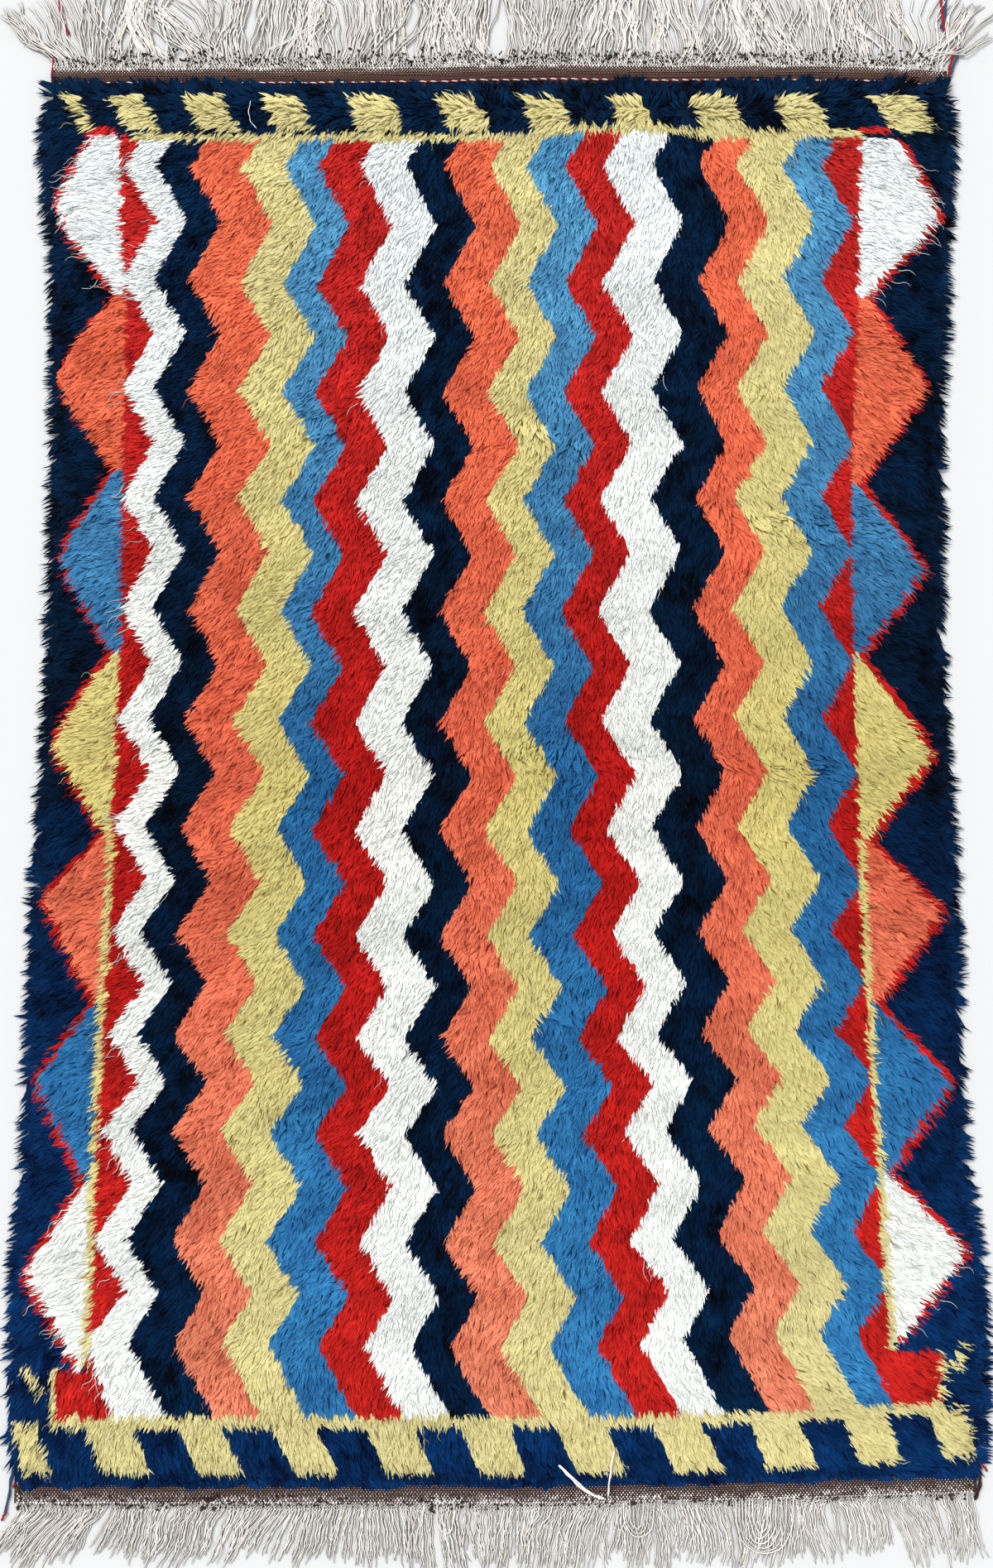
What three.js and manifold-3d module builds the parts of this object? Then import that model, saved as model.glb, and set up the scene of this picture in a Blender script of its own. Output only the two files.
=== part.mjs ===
// A flat tulu rug: long wool pile on a woven ground, flat-woven ends and a fringe of warp yarns
// at each end. Millimetres: X runs across the rug, Y along it from the foot to the head, Z is up,
// and the origin is on the floor under the middle of the weave.

import * as THREE from "three";
import { mergeVertices } from "three/addons/utils/BufferGeometryUtils.js";
import Module from "manifold-3d";

const wasm = await Module();
wasm.setup();

// The weave
const HEAD_END = 896;
const FOOT_END = -849;
const FOOT_RISE = 13; // how far the foot end climbs at its right corner
const FOOT_RISE_SPAN = 570;
const FLAT_WEAVE = 22; // length of each flat-woven end
const FLAT_WEAVE_THICK = 3;

// The pile
const EDGE_THICK = 4;
const PILE_THICK = 17;
const SHOULDER = 26; // how far in from an edge the pile reaches its full height

// The rug's side edges, where the pile's body ends and its locks begin
const SIDES = [
  { y: -849, left: -566, right: 562 },
  { y: -760, left: -576, right: 575 },
  { y: -640, left: -573, right: 577 },
  { y: -400, left: -561, right: 555 },
  { y: -100, left: -553, right: 549 },
  { y: 140, left: -542, right: 539 },
  { y: 400, left: -540, right: 540 },
  { y: 630, left: -545, right: 551 },
  { y: 800, left: -561, right: 563 },
  { y: 896, left: -553, right: 559 },
];

// Low waves in the pile: their lengths across and along the rug, their start and their height
const WAVES = [
  { across: 310, along: 118, start: 0.4, height: 1.0 },
  { across: -205, along: 166, start: 2.1, height: 0.9 },
  { across: 640, along: -92, start: 4.4, height: 0.7 },
  { across: 128, along: 420, start: 5.3, height: 0.5 },
];

// Partings where the pile has been pressed aside, each running from one x to another
const PARTINGS = [
  { from: -250, to: -160, y: 437, climb: 4, reach: 20, depth: 3.5 },
  { from: 10, to: 125, y: 448, climb: -40, reach: 24, depth: 4.5 },
  { from: -40, to: 200, y: 42, climb: -14, reach: 24, depth: 4.0 },
  { from: 240, to: 430, y: 34, climb: -14, reach: 24, depth: 4.5 },
  { from: 230, to: 430, y: 338, climb: -30, reach: 26, depth: 4.0 },
  { from: 35, to: 125, y: -268, climb: -8, reach: 22, depth: 4.5 },
  { from: -270, to: -185, y: -400, climb: 4, reach: 20, depth: 3.5 },
];

// The grid over the top face: fixed offsets near each edge, then even cells
const EDGE_OFFSETS = [0, 7, 18];
const END_OFFSETS = [0, 11, FLAT_WEAVE, FLAT_WEAVE + 7, FLAT_WEAVE + 20];
const CELLS_ACROSS = 30;
const CELLS_ALONG = 46;

// Locks of pile that stand out of the rim
const SIDE_LOCKS = 44; // on each side
const END_LOCKS = 20; // over each flat-woven end
const LOCK_ROOT = 18; // how far inside the rim a lock starts
const LOCK_REACH = 11; // how far it stands out
const LOCK_WIDTH = 17;
const LOCK_TIP_WIDTH = 2.5;
const LOCK_HEIGHT = 5;
const LOCK_TIP_HEIGHT = 1.4;
const LOCK_TIP_DROP = 0.35; // share of its height above the floor that a tip comes down
const SIDE_LOCK_BASE = 2.5;
const END_LOCK_BASE = 4.5;
const LOCK_DROOP = 0.45; // how much a side lock leans towards the foot, in radians
const LOCK_SPREAD = 0.5; // how much the headings of end locks differ

// The fringe: yarns gathered in strands, rooted in a narrow strip beside the flat weave
const PARTED = 0.3;
const STRIP_WIDTH = 5;
const STRIP_THICK = 2.6;
const STRIP_STEPS = 24;
const STRANDS = 86; // at each end
const HEAD_FRINGE = 112;
const FOOT_FRINGE = 96;
const STRAND_WIDTH = 8;
const STRAND_TIP_WIDTH = 4;
const STRAND_HEIGHT = 3.4;
const STRAND_TIP_HEIGHT = 2.2;
const STRAND_STEPS = 4;
const STRAND_ROOT = 1.5; // how far inside the strip a strand starts
const WOBBLE = 1.1; // each strand's own small wave
const WOBBLE_TURN = 9;
const SWAY = 13; // how far neighbouring strands lean together
const SWAY_SPAN = 270;
const HEAD_FLARE = 34; // how far the outermost strands fan out
const FOOT_FLARE = 8;
const FLARE_SPAN = 90;

const WOOL = { color: 0x12304f, roughness: 0.96, metalness: 0 };
const WARP = { color: 0xd8cfc4, roughness: 0.94, metalness: 0 };

// A number from 0 to 1 that looks random but is the same on each run.
function scatter(index, salt) {
  const raw = Math.sin(index * 12.9898 + salt * 78.233) * 43758.5453;
  return raw - Math.floor(raw);
}

function smooth(t) {
  const held = THREE.MathUtils.clamp(t, 0, 1);
  return held * held * (3 - 2 * held);
}

function sideAt(y, side) {
  const last = SIDES.length - 1;
  const above = SIDES.findIndex((row) => row.y >= y);
  if (above === 0) {
    return SIDES[0][side];
  }
  if (above < 0) {
    return SIDES[last][side];
  }
  const low = SIDES[above - 1];
  const high = SIDES[above];
  const share = smooth((y - low.y) / (high.y - low.y));
  return THREE.MathUtils.lerp(low[side], high[side], share);
}

function headAt() {
  return HEAD_END;
}

function footAt(x) {
  const share = THREE.MathUtils.clamp(x / FOOT_RISE_SPAN, 0, 1);
  return FOOT_END + FOOT_RISE * share ** 1.5;
}

function wavesAt(x, y) {
  let height = 0;
  for (const wave of WAVES) {
    const turns = x / wave.across + y / wave.along;
    height += wave.height * Math.sin(2 * Math.PI * turns + wave.start);
  }
  return height;
}

function partingsAt(x, y) {
  let depth = 0;
  for (const parting of PARTINGS) {
    const along = (x - parting.from) / (parting.to - parting.from);
    const middle = parting.y + parting.climb * along;
    const beside = 1 - smooth(Math.abs(y - middle) / parting.reach);
    const ends = smooth(along / 0.2) * smooth((1 - along) / 0.2);
    depth += parting.depth * beside * ends;
  }
  return depth;
}

// The pile's rounded shoulder, from 0 at an edge to 1 once well inside it
function shoulderAt(distance) {
  const share = THREE.MathUtils.clamp(distance / SHOULDER, 0, 1);
  return Math.sqrt(1 - (1 - share) ** 2);
}

function heightAt(x, y) {
  const fromSide = Math.min(x - sideAt(y, "left"), sideAt(y, "right") - x);
  const fromEnd = Math.min(y - footAt(x), headAt() - y) - FLAT_WEAVE;
  if (fromEnd <= 0) {
    return FLAT_WEAVE_THICK;
  }
  const pile = PILE_THICK - EDGE_THICK + wavesAt(x, y) - partingsAt(x, y);
  return EDGE_THICK + pile * shoulderAt(Math.min(fromSide, fromEnd));
}

// Places from 0 to length: the fixed offsets from both ends, with even cells between them
function spaced(offsets, cells, length) {
  const inner = offsets[offsets.length - 1];
  const places = [...offsets];
  for (let cell = 1; cell < cells; cell += 1) {
    places.push(inner + ((length - 2 * inner) * cell) / cells);
  }
  for (const offset of [...offsets].reverse()) {
    places.push(length - offset);
  }
  return places;
}

// The top face's points, row by row from the foot to the head
function topGrid() {
  const length = HEAD_END - FOOT_END;
  return spaced(END_OFFSETS, CELLS_ALONG, length).map((along) => {
    const nominal = FOOT_END + along;
    const left = sideAt(nominal, "left");
    const right = sideAt(nominal, "right");
    return spaced(EDGE_OFFSETS, CELLS_ACROSS, right - left).map((offset) => {
      const x = left + offset;
      const share = along / length;
      const y = THREE.MathUtils.lerp(footAt(x), headAt(), share);
      return new THREE.Vector3(x, y, 0);
    });
  });
}

// The grid's rim as [row, column] pairs, counter-clockwise from above
function rimOf(rows, columns) {
  const rim = [];
  for (let column = 0; column < columns - 1; column += 1) {
    rim.push([0, column]);
  }
  for (let row = 0; row < rows - 1; row += 1) {
    rim.push([row, columns - 1]);
  }
  for (let column = columns - 1; column > 0; column -= 1) {
    rim.push([rows - 1, column]);
  }
  for (let row = rows - 1; row > 0; row -= 1) {
    rim.push([row, 0]);
  }
  return rim;
}

// The woven body with its lumpy pile: a closed slab with a flat underside on the floor
function slabGeometry() {
  const grid = topGrid();
  const rows = grid.length;
  const columns = grid[0].length;
  const points = [];
  const index = [];
  for (const row of grid) {
    for (const point of row) {
      points.push(point.x, point.y, heightAt(point.x, point.y));
    }
  }
  for (let row = 0; row < rows - 1; row += 1) {
    for (let column = 0; column < columns - 1; column += 1) {
      const a = row * columns + column;
      const b = a + columns;
      index.push(a, a + 1, b + 1, a, b + 1, b);
    }
  }
  const rim = rimOf(rows, columns);
  const under = rows * columns;
  for (const [row, column] of rim) {
    points.push(grid[row][column].x, grid[row][column].y, 0);
  }
  rim.forEach(([row, column], step) => {
    const next = (step + 1) % rim.length;
    const top = row * columns + column;
    const nextTop = rim[next][0] * columns + rim[next][1];
    index.push(under + step, under + next, nextTop, under + step, nextTop, top);
  });
  const outline = rim.map(([row, column]) => grid[row][column]);
  for (const [a, b, c] of THREE.ShapeUtils.triangulateShape(outline, [])) {
    index.push(under + c, under + b, under + a);
  }
  const geometry = new THREE.BufferGeometry();
  geometry.setAttribute("position", new THREE.Float32BufferAttribute(points, 3));
  geometry.setIndex(index);
  return geometry;
}

// A closed three-sided strand through its stations, each with a flat base and a ridge above it.
// A station has x, y, base, width and height, and the strand runs from the first to the last.
function strandGeometry(stations) {
  const points = [];
  const index = [];
  stations.forEach((station, step) => {
    const before = stations[Math.max(step - 1, 0)];
    const after = stations[Math.min(step + 1, stations.length - 1)];
    const ahead = new THREE.Vector2(after.x - before.x, after.y - before.y).normalize();
    const half = station.width / 2;
    points.push(station.x - ahead.y * half, station.y + ahead.x * half, station.base);
    points.push(station.x + ahead.y * half, station.y - ahead.x * half, station.base);
    points.push(station.x, station.y, station.base + station.height);
  });
  for (let step = 0; step < stations.length - 1; step += 1) {
    for (let side = 0; side < 3; side += 1) {
      const a = step * 3 + side;
      const b = step * 3 + ((side + 1) % 3);
      index.push(a, b + 3, b, a, a + 3, b + 3);
    }
  }
  const last = (stations.length - 1) * 3;
  index.push(0, 1, 2, last, last + 2, last + 1);
  const geometry = new THREE.BufferGeometry();
  geometry.setAttribute("position", new THREE.Float32BufferAttribute(points, 3));
  geometry.setIndex(index);
  return geometry;
}

// A lock of pile from inside the rim, with its heading as an angle in plan
function lockGeometry(rootX, rootY, heading, reach, base) {
  const length = LOCK_ROOT + reach;
  const stations = [0, 0.55, 1].map((share) => ({
    x: rootX + Math.cos(heading) * length * share,
    y: rootY + Math.sin(heading) * length * share,
    base: base * (1 - LOCK_TIP_DROP * share),
    width: THREE.MathUtils.lerp(LOCK_WIDTH, LOCK_TIP_WIDTH, share ** 1.6),
    height: THREE.MathUtils.lerp(LOCK_HEIGHT, LOCK_TIP_HEIGHT, share),
  }));
  return strandGeometry(stations);
}

function sideLocks(side) {
  const outwards = side === "left" ? Math.PI : 0;
  const turn = side === "left" ? 1 : -1;
  const start = FOOT_END + FLAT_WEAVE + LOCK_WIDTH;
  const span = HEAD_END - FLAT_WEAVE - LOCK_WIDTH - start;
  return Array.from({ length: SIDE_LOCKS }, (_, place) => {
    const salt = side === "left" ? 1 : 2;
    const y = start + (span * (place + 0.25 + 0.5 * scatter(place, salt))) / SIDE_LOCKS;
    const x = sideAt(y, side) + turn * LOCK_ROOT;
    const heading = outwards + turn * LOCK_DROOP * (0.4 + scatter(place, salt + 2));
    const reach = LOCK_REACH * (0.6 + 0.6 * scatter(place, salt + 4));
    return lockGeometry(x, y, heading, reach, SIDE_LOCK_BASE);
  });
}

function endLocks(end) {
  const outwards = end === "head" ? Math.PI / 2 : -Math.PI / 2;
  const turn = end === "head" ? -1 : 1;
  const left = sideAt(HEAD_END, "left") + LOCK_WIDTH;
  const right = sideAt(HEAD_END, "right") - LOCK_WIDTH;
  return Array.from({ length: END_LOCKS }, (_, place) => {
    const salt = end === "head" ? 7 : 8;
    const share = (place + 0.3 + 0.4 * scatter(place, salt)) / END_LOCKS;
    const x = THREE.MathUtils.lerp(left, right, share);
    const edge = end === "head" ? headAt() : footAt(x);
    const y = edge + turn * (FLAT_WEAVE + LOCK_ROOT);
    const heading = outwards + LOCK_SPREAD * (scatter(place, salt + 2) - 0.5);
    const reach = LOCK_REACH * (0.4 + 0.6 * scatter(place, salt + 4));
    return lockGeometry(x, y, heading, reach, END_LOCK_BASE);
  });
}

// The strip that holds one fringe, 0.3 mm off the end of the flat weave
function stripGeometry(endAt, outwards, left, right) {
  const inner = [];
  const outer = [];
  for (let step = 0; step <= STRIP_STEPS; step += 1) {
    const x = THREE.MathUtils.lerp(left, right, step / STRIP_STEPS);
    inner.push(new THREE.Vector2(x, endAt(x) + outwards * PARTED));
    outer.push(new THREE.Vector2(x, endAt(x) + outwards * (PARTED + STRIP_WIDTH)));
  }
  const shape = new THREE.Shape([...inner, ...outer.reverse()]);
  return new THREE.ExtrudeGeometry(shape, { depth: STRIP_THICK, bevelEnabled: false });
}

// How far a strand rooted at x has moved sideways, at a share of its length
function leanAt(x, share, middle, halfWidth, flare, salt) {
  const sway = SWAY * Math.sin((2 * Math.PI * x) / SWAY_SPAN + salt) * share ** 1.5;
  const fromEdge = halfWidth - Math.abs(x - middle);
  const fan = flare * (1 - smooth(fromEdge / FLARE_SPAN)) * share ** 1.3;
  return sway + Math.sign(x - middle) * fan;
}

function fringeStrands(endAt, outwards, left, right, length, flare, salt) {
  const middle = (left + right) / 2;
  const halfWidth = (right - left) / 2;
  const pitch = (right - left) / STRANDS;
  return Array.from({ length: STRANDS }, (_, place) => {
    const rootX = left + pitch * (place + 0.5);
    const rootY = endAt(rootX) + outwards * (PARTED + STRAND_ROOT);
    const reach = length * (0.92 + 0.08 * scatter(place, salt));
    const wobble = WOBBLE * (scatter(place, salt + 3) - 0.5);
    const lean = (share) => leanAt(rootX, share, middle, halfWidth, flare, salt);
    const stations = Array.from({ length: STRAND_STEPS + 1 }, (__, step) => {
      const share = step / STRAND_STEPS;
      return {
        x: rootX + lean(share) + wobble * Math.sin(WOBBLE_TURN * share),
        y: rootY + outwards * reach * share,
        base: 0,
        width: THREE.MathUtils.lerp(STRAND_WIDTH, STRAND_TIP_WIDTH, share),
        height: THREE.MathUtils.lerp(STRAND_HEIGHT, STRAND_TIP_HEIGHT, share),
      };
    });
    return strandGeometry(stations);
  });
}

function solidOf(geometry) {
  const bare = geometry.clone();
  bare.deleteAttribute("normal");
  bare.deleteAttribute("uv");
  const merged = mergeVertices(bare, 1e-4);
  const vertProperties = new Float32Array(merged.attributes.position.array);
  const triVerts = new Uint32Array(merged.index.array);
  return new wasm.Manifold(new wasm.Mesh({ numProp: 3, vertProperties, triVerts }));
}

function geometryOf(solid) {
  const mesh = solid.getMesh();
  const geometry = new THREE.BufferGeometry();
  geometry.setAttribute("position", new THREE.BufferAttribute(mesh.vertProperties, 3));
  geometry.setIndex(new THREE.BufferAttribute(mesh.triVerts, 1));
  geometry.computeVertexNormals();
  return geometry;
}

function joined(base, additions) {
  let solid = solidOf(base);
  for (const addition of additions) {
    solid = solid.add(solidOf(addition));
  }
  return geometryOf(solid);
}

function namedMesh(name, geometry, finish) {
  const mesh = new THREE.Mesh(geometry, new THREE.MeshStandardMaterial(finish));
  mesh.name = name;
  return mesh;
}

// The rug's body: ground weave, pile and flat-woven ends in one piece
function makeRug() {
  const locks = [...sideLocks("left"), ...sideLocks("right"), ...endLocks("head"), ...endLocks("foot")];
  return namedMesh("rug", joined(slabGeometry(), locks), WOOL);
}

function makeFringe(name, endAt, outwards, y, length, flare, salt) {
  const left = sideAt(y, "left") + 1;
  const right = sideAt(y, "right") - 1;
  const strip = stripGeometry(endAt, outwards, left, right);
  const strands = fringeStrands(endAt, outwards, left, right, length, flare, salt);
  return namedMesh(name, joined(strip, strands), WARP);
}

const rug = new THREE.Group();
rug.add(makeRug());
rug.add(makeFringe("fringe_head", headAt, 1, HEAD_END, HEAD_FRINGE, HEAD_FLARE, 11));
rug.add(makeFringe("fringe_foot", footAt, -1, FOOT_END, FOOT_FRINGE, FOOT_FLARE, 17));

export default rug;
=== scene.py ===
"""A flat tulu rug: long lying wool pile in zigzag stripes, flat-woven ends and warp fringes.

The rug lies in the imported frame: X across it, Y towards its head, Z up from the floor. Sizes are
named in millimetres, as a weaver reads them, and become metres where a mesh is made. Arrays named
x and y hold places across and along the rug, and rng draws a piece's own seeded random numbers.
"""

import logging
import math
from dataclasses import dataclass
from enum import IntEnum
from typing import NamedTuple

import bpy
import numpy as np
from bpy.types import Material, Node, NodeSocket, NodeTree, Object
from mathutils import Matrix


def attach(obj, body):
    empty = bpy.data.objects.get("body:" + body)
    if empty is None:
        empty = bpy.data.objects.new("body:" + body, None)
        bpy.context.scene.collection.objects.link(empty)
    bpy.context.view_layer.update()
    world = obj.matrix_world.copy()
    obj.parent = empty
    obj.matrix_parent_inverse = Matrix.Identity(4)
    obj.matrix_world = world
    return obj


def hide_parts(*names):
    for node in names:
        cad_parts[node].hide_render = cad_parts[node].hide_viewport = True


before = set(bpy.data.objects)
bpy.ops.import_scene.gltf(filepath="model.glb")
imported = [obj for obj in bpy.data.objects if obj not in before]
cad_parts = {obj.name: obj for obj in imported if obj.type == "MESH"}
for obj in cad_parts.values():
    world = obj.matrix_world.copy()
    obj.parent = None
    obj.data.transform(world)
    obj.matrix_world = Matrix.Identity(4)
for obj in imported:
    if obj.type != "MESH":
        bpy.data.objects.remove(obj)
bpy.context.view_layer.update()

MM = 0.001
BODY = "root"
log = logging.getLogger("tulu_rug")


class Wool(IntEnum):
    """The dyed wools of the pile."""

    NAVY = 0
    WHITE = 1
    RED = 2
    CORAL = 3
    YELLOW = 4
    BLUE = 5
    INDIGO = 6


def table(kind: type, *rows: tuple) -> tuple:
    """Return a table: its rows, each with the columns that its kind names."""
    return tuple(kind(*row) for row in rows)


class Curve:
    """A value that changes from place to place, given in pairs of a place and its value."""

    def __init__(self, *pairs: tuple[float, float]) -> None:
        """Lay the pairs out in columns, from low to high."""
        self.places, self.values = np.array(pairs, float).T

    def __call__(self, at: np.ndarray) -> np.ndarray:
        """Return the value at each place, straight from pair to pair."""
        return np.interp(at, self.places, self.values)


# Sizes that the part's source holds as well

HEAD_END = 896.0
FOOT_END = -849.0
FOOT_RISE = 13.0
FOOT_RISE_SPAN = 570.0
FLAT_WEAVE = 22.0
EDGE_THICK = 4.0
PILE_THICK = 17.0
SHOULDER = 26.0

# The pile's sides: a place along the rug, then the left edge and the right edge there

SIDE_ROWS, LEFTS, RIGHTS = np.array((
    (-849, -566, 562), (-760, -576, 575), (-640, -573, 577), (-400, -561, 555), (-100, -553, 549),
    (140, -542, 539), (400, -540, 540), (630, -545, 551), (800, -561, 563), (896, -553, 559),
), float).T


class Wave(NamedTuple):
    """A low wave in the pile: its lengths across and along, its start and its height."""

    across: float
    along: float
    start: float
    height: float


WAVES = table(Wave, (310, 118, 0.4, 1.0), (-205, 166, 2.1, 0.9), (640, -92, 4.4, 0.7), (128, 420, 5.3, 0.5))


class Parting(NamedTuple):
    """A place where the pile has been pressed aside, from one x to another."""

    start: float
    stop: float
    y: float
    climb: float
    reach: float
    depth: float


PARTINGS = table(
    Parting, (-250, -160, 437, 4, 20, 3.5), (10, 125, 448, -40, 24, 4.5), (-40, 200, 42, -14, 24, 4.0),
    (240, 430, 34, -14, 24, 4.5), (230, 430, 338, -30, 26, 4.0), (35, 125, -268, -8, 22, 4.5),
    (-270, -185, -400, 4, 20, 3.5),
)

# Finer forms that only the scene has: how high the small swells are, from which row on the head's pile
# lies loose, and how far the head's last rows hang back

SWELL = 0.8
LOOSE_FROM = 812.0
HEAD_DROPS = Curve(
    (-553, 5), (-410, 4), (-230, 4), (-72, 2.4), (-10, 0.3), (93, -0.7),
    (206, 1.3), (257, 0.3), (412, 1), (490, 2.5), (559, 8),
)


def smooth(share: np.ndarray) -> np.ndarray:
    """Return the share eased at both ends."""
    held = np.clip(share, 0.0, 1.0)
    return held * held * (3.0 - 2.0 * held)


def eased(at: np.ndarray, places: np.ndarray, values: np.ndarray) -> np.ndarray:
    """Return a column's value at each place asked for, eased from row to row."""
    at = np.clip(at, places[0], places[-1])
    high = np.clip(np.searchsorted(places, at), 1, len(places) - 1)
    low = high - 1
    share = smooth((at - places[low]) / (places[high] - places[low]))
    return values[low] + (values[high] - values[low]) * share


def stray(rng: np.random.Generator, group: np.ndarray, together: float, apart: float) -> np.ndarray:
    """Return a random number for each member of its group: a part that the group shares and its own part."""
    return rng.normal(0, together, group.max() + 1)[group] + rng.normal(0, apart, len(group))


class Drift:
    """Smooth random drift over the floor, the same on each run."""

    SIZE = 256

    def __init__(self, seed: int) -> None:
        """Draw the table that the drift is read from."""
        self.table = np.random.default_rng(seed).uniform(-1.0, 1.0, (self.SIZE, self.SIZE))

    def at(self, x: np.ndarray, y: np.ndarray, span: float) -> np.ndarray:
        """Return a value from -1 to 1 at each place, with hills about one span apart."""
        u, v = x / span + 500.0, y / span + 500.0
        i, j = np.floor(u).astype(int), np.floor(v).astype(int)
        a, b = smooth(u - i), smooth(v - j)
        i, j = i % self.SIZE, j % self.SIZE
        ii, jj = (i + 1) % self.SIZE, (j + 1) % self.SIZE
        low = self.table[i, j] * (1 - a) + self.table[ii, j] * a
        high = self.table[i, jj] * (1 - a) + self.table[ii, jj] * a
        return low * (1 - b) + high * b


SWELLS = Drift(47)


def left_edge(y: np.ndarray) -> np.ndarray:
    """Return the left edge at y."""
    return eased(y, SIDE_ROWS, LEFTS)


def right_edge(y: np.ndarray) -> np.ndarray:
    """Return the right edge at y."""
    return eased(y, SIDE_ROWS, RIGHTS)


def foot_edge(x: np.ndarray) -> np.ndarray:
    """Return the foot end at x."""
    return FOOT_END + FOOT_RISE * np.clip(x / FOOT_RISE_SPAN, 0, 1) ** 1.5


def head_edge(x: np.ndarray) -> np.ndarray:
    """Return the head end at x."""
    return HEAD_END - HEAD_DROPS(x)


def pressed_at(x: np.ndarray, y: np.ndarray) -> np.ndarray:
    """Return how far the partings press the pile down."""
    depth = np.zeros(np.shape(x))
    for parting in PARTINGS:
        along = (x - parting.start) / (parting.stop - parting.start)
        middle = parting.y + parting.climb * along
        beside = 1 - smooth(np.abs(y - middle) / parting.reach)
        depth += parting.depth * beside * smooth(along / 0.2) * smooth((1 - along) / 0.2)
    return depth


def ruffled_at(x: np.ndarray, y: np.ndarray) -> np.ndarray:
    """Return how ruffled the pile is, from 0 to 1."""
    return np.clip(pressed_at(x, y) / 3.0, 0, 1)


def inset_at(x: np.ndarray, y: np.ndarray) -> np.ndarray:
    """Return the distance in from the nearest side or end of the pile."""
    from_side = np.minimum(x - left_edge(y), right_edge(y) - x)
    from_end = np.minimum(y - foot_edge(x), head_edge(x) - y) - FLAT_WEAVE
    return np.minimum(from_side, from_end)


def surface_at(x: np.ndarray, y: np.ndarray) -> np.ndarray:
    """Return the height of the pile with its small swells."""
    height = height_at(x, y)
    return height + SWELL * SWELLS.at(x * 0.8, y, 14) * np.clip(height / PILE_THICK, 0, 1)


def height_at(x: np.ndarray, y: np.ndarray) -> np.ndarray:
    """Return the height of the pile's surface."""
    share = np.clip(inset_at(x, y) / SHOULDER, 0, 1)
    shoulder = np.sqrt(1 - (1 - share) ** 2)
    body = PILE_THICK - EDGE_THICK - pressed_at(x, y)
    for wave in WAVES:
        turns = x / wave.across + y / wave.along
        body = body + wave.height * np.sin(2 * math.pi * turns + wave.start)
    return EDGE_THICK + body * shoulder


# The pattern's chart: the rows where the zigzags turn, and how far they swing

TURNS = (
    832, 765, 697, 622, 555, 487, 418, 352, 285, 215, 147, 80, 15,
    -50, -116, -177, -240, -300, -357, -413, -476, -541, -604, -661, -747,
)
ZIGZAG = Curve(*((TURNS[place], (-1) ** place) for place in reversed(range(len(TURNS)))))
TURN_REACH = 19.5

# The stripes, left to right in runs of the same wools: each one's right edge at five places along the rug

STRIPE_WOOLS = (Wool.RED, Wool.WHITE, Wool.NAVY, Wool.CORAL, Wool.YELLOW, Wool.BLUE)
STRIPE_ROWS = (660.0, 180.0, -270.0, -600.0, -747.0)
STRIPES = (
    (-440, -437, -443, -460, -471), (-402, -399, -410, -421, -408), (-360, -356, -366, -366, -353),
    (-297, -297, -306, -310, -297), (-242, -243, -248, -254, -243), (-201, -207, -199, -195, -185),
    (-149, -154, -149, -142, -129), (-93, -97, -92, -88, -72), (-45, -50, -48, -42, -26),
    (11, 3, 7, 18, 34), (57, 50, 60, 75, 91), (105, 97, 115, 131, 147),
    (151, 142, 161, 183, 198), (212, 204, 208, 233, 248), (269, 257, 261, 286, 301),
    (317, 305, 315, 340, 356), (374, 364, 374, 396, 410), (421, 412, 423, 446, 448),
)

# How far the rows of knots stand above their chart, in the upper half and near the foot

UPPER_SAG = Curve((-430, 0), (-320, -3), (-210, -6), (0, -6), (110, -5), (212, -2), (318, -1), (430, 0))
LOWER_SAG = Curve((-430, 0), (-320, 0), (-210, -4), (0, -6), (110, -6), (212, -1), (318, 6), (430, 3))


class Diamond(NamedTuple):
    """A half-diamond against a border: its top, tip and foot, and its red outline's width."""

    top: float
    tip_y: float
    tip_x: float
    foot: float
    outline: float


DIAMOND_WOOLS = (Wool.WHITE, Wool.CORAL, Wool.BLUE, Wool.YELLOW, Wool.CORAL, Wool.BLUE, Wool.WHITE)
LEFT_DIAMONDS = table(
    Diamond, (850, 713, 556, 603, 7), (603, 500, 550, 385, 2), (385, 275, 541, 160, 6),
    (160, 48, 547, -62, 7.5), (-62, -142, 555, -262, 9), (-262, -358, 559, -475, 9),
    (-475, -580, 566, -692, 8),
)
RIGHT_DIAMONDS = table(
    Diamond, (866, 702, 559, 600, 9), (600, 488, 535, 367, 5), (367, 260, 531, 155, 9),
    (155, 35, 537, -68, 9), (-68, -155, 545, -265, 9), (-265, -360, 553, -468, 9),
    (-468, -562, 566, -668, 9),
)
DIAMOND_JOINT = 17.0

# How far out from the rug's middle the half-diamonds' straight sides lie, and where the border turns bluer

LEFT_LINE = Curve(
    (-660, 485), (-400, 478), (-200, 470), (0, 461), (200, 456), (600, 456), (680, 465), (820, 466),
)
RIGHT_LINE = Curve(
    (-660, 467), (-600, 464), (-550, 460), (-450, 456), (-300, 448), (-150, 442),
    (0, 436), (150, 433), (400, 433), (500, 440), (600, 446), (820, 452),
)
BLUER_BELOW = -22.0


class Check(NamedTuple):
    """A yellow check of an end band: its middle, its width and how far it leans."""

    x: float
    width: float
    lean: float


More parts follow.
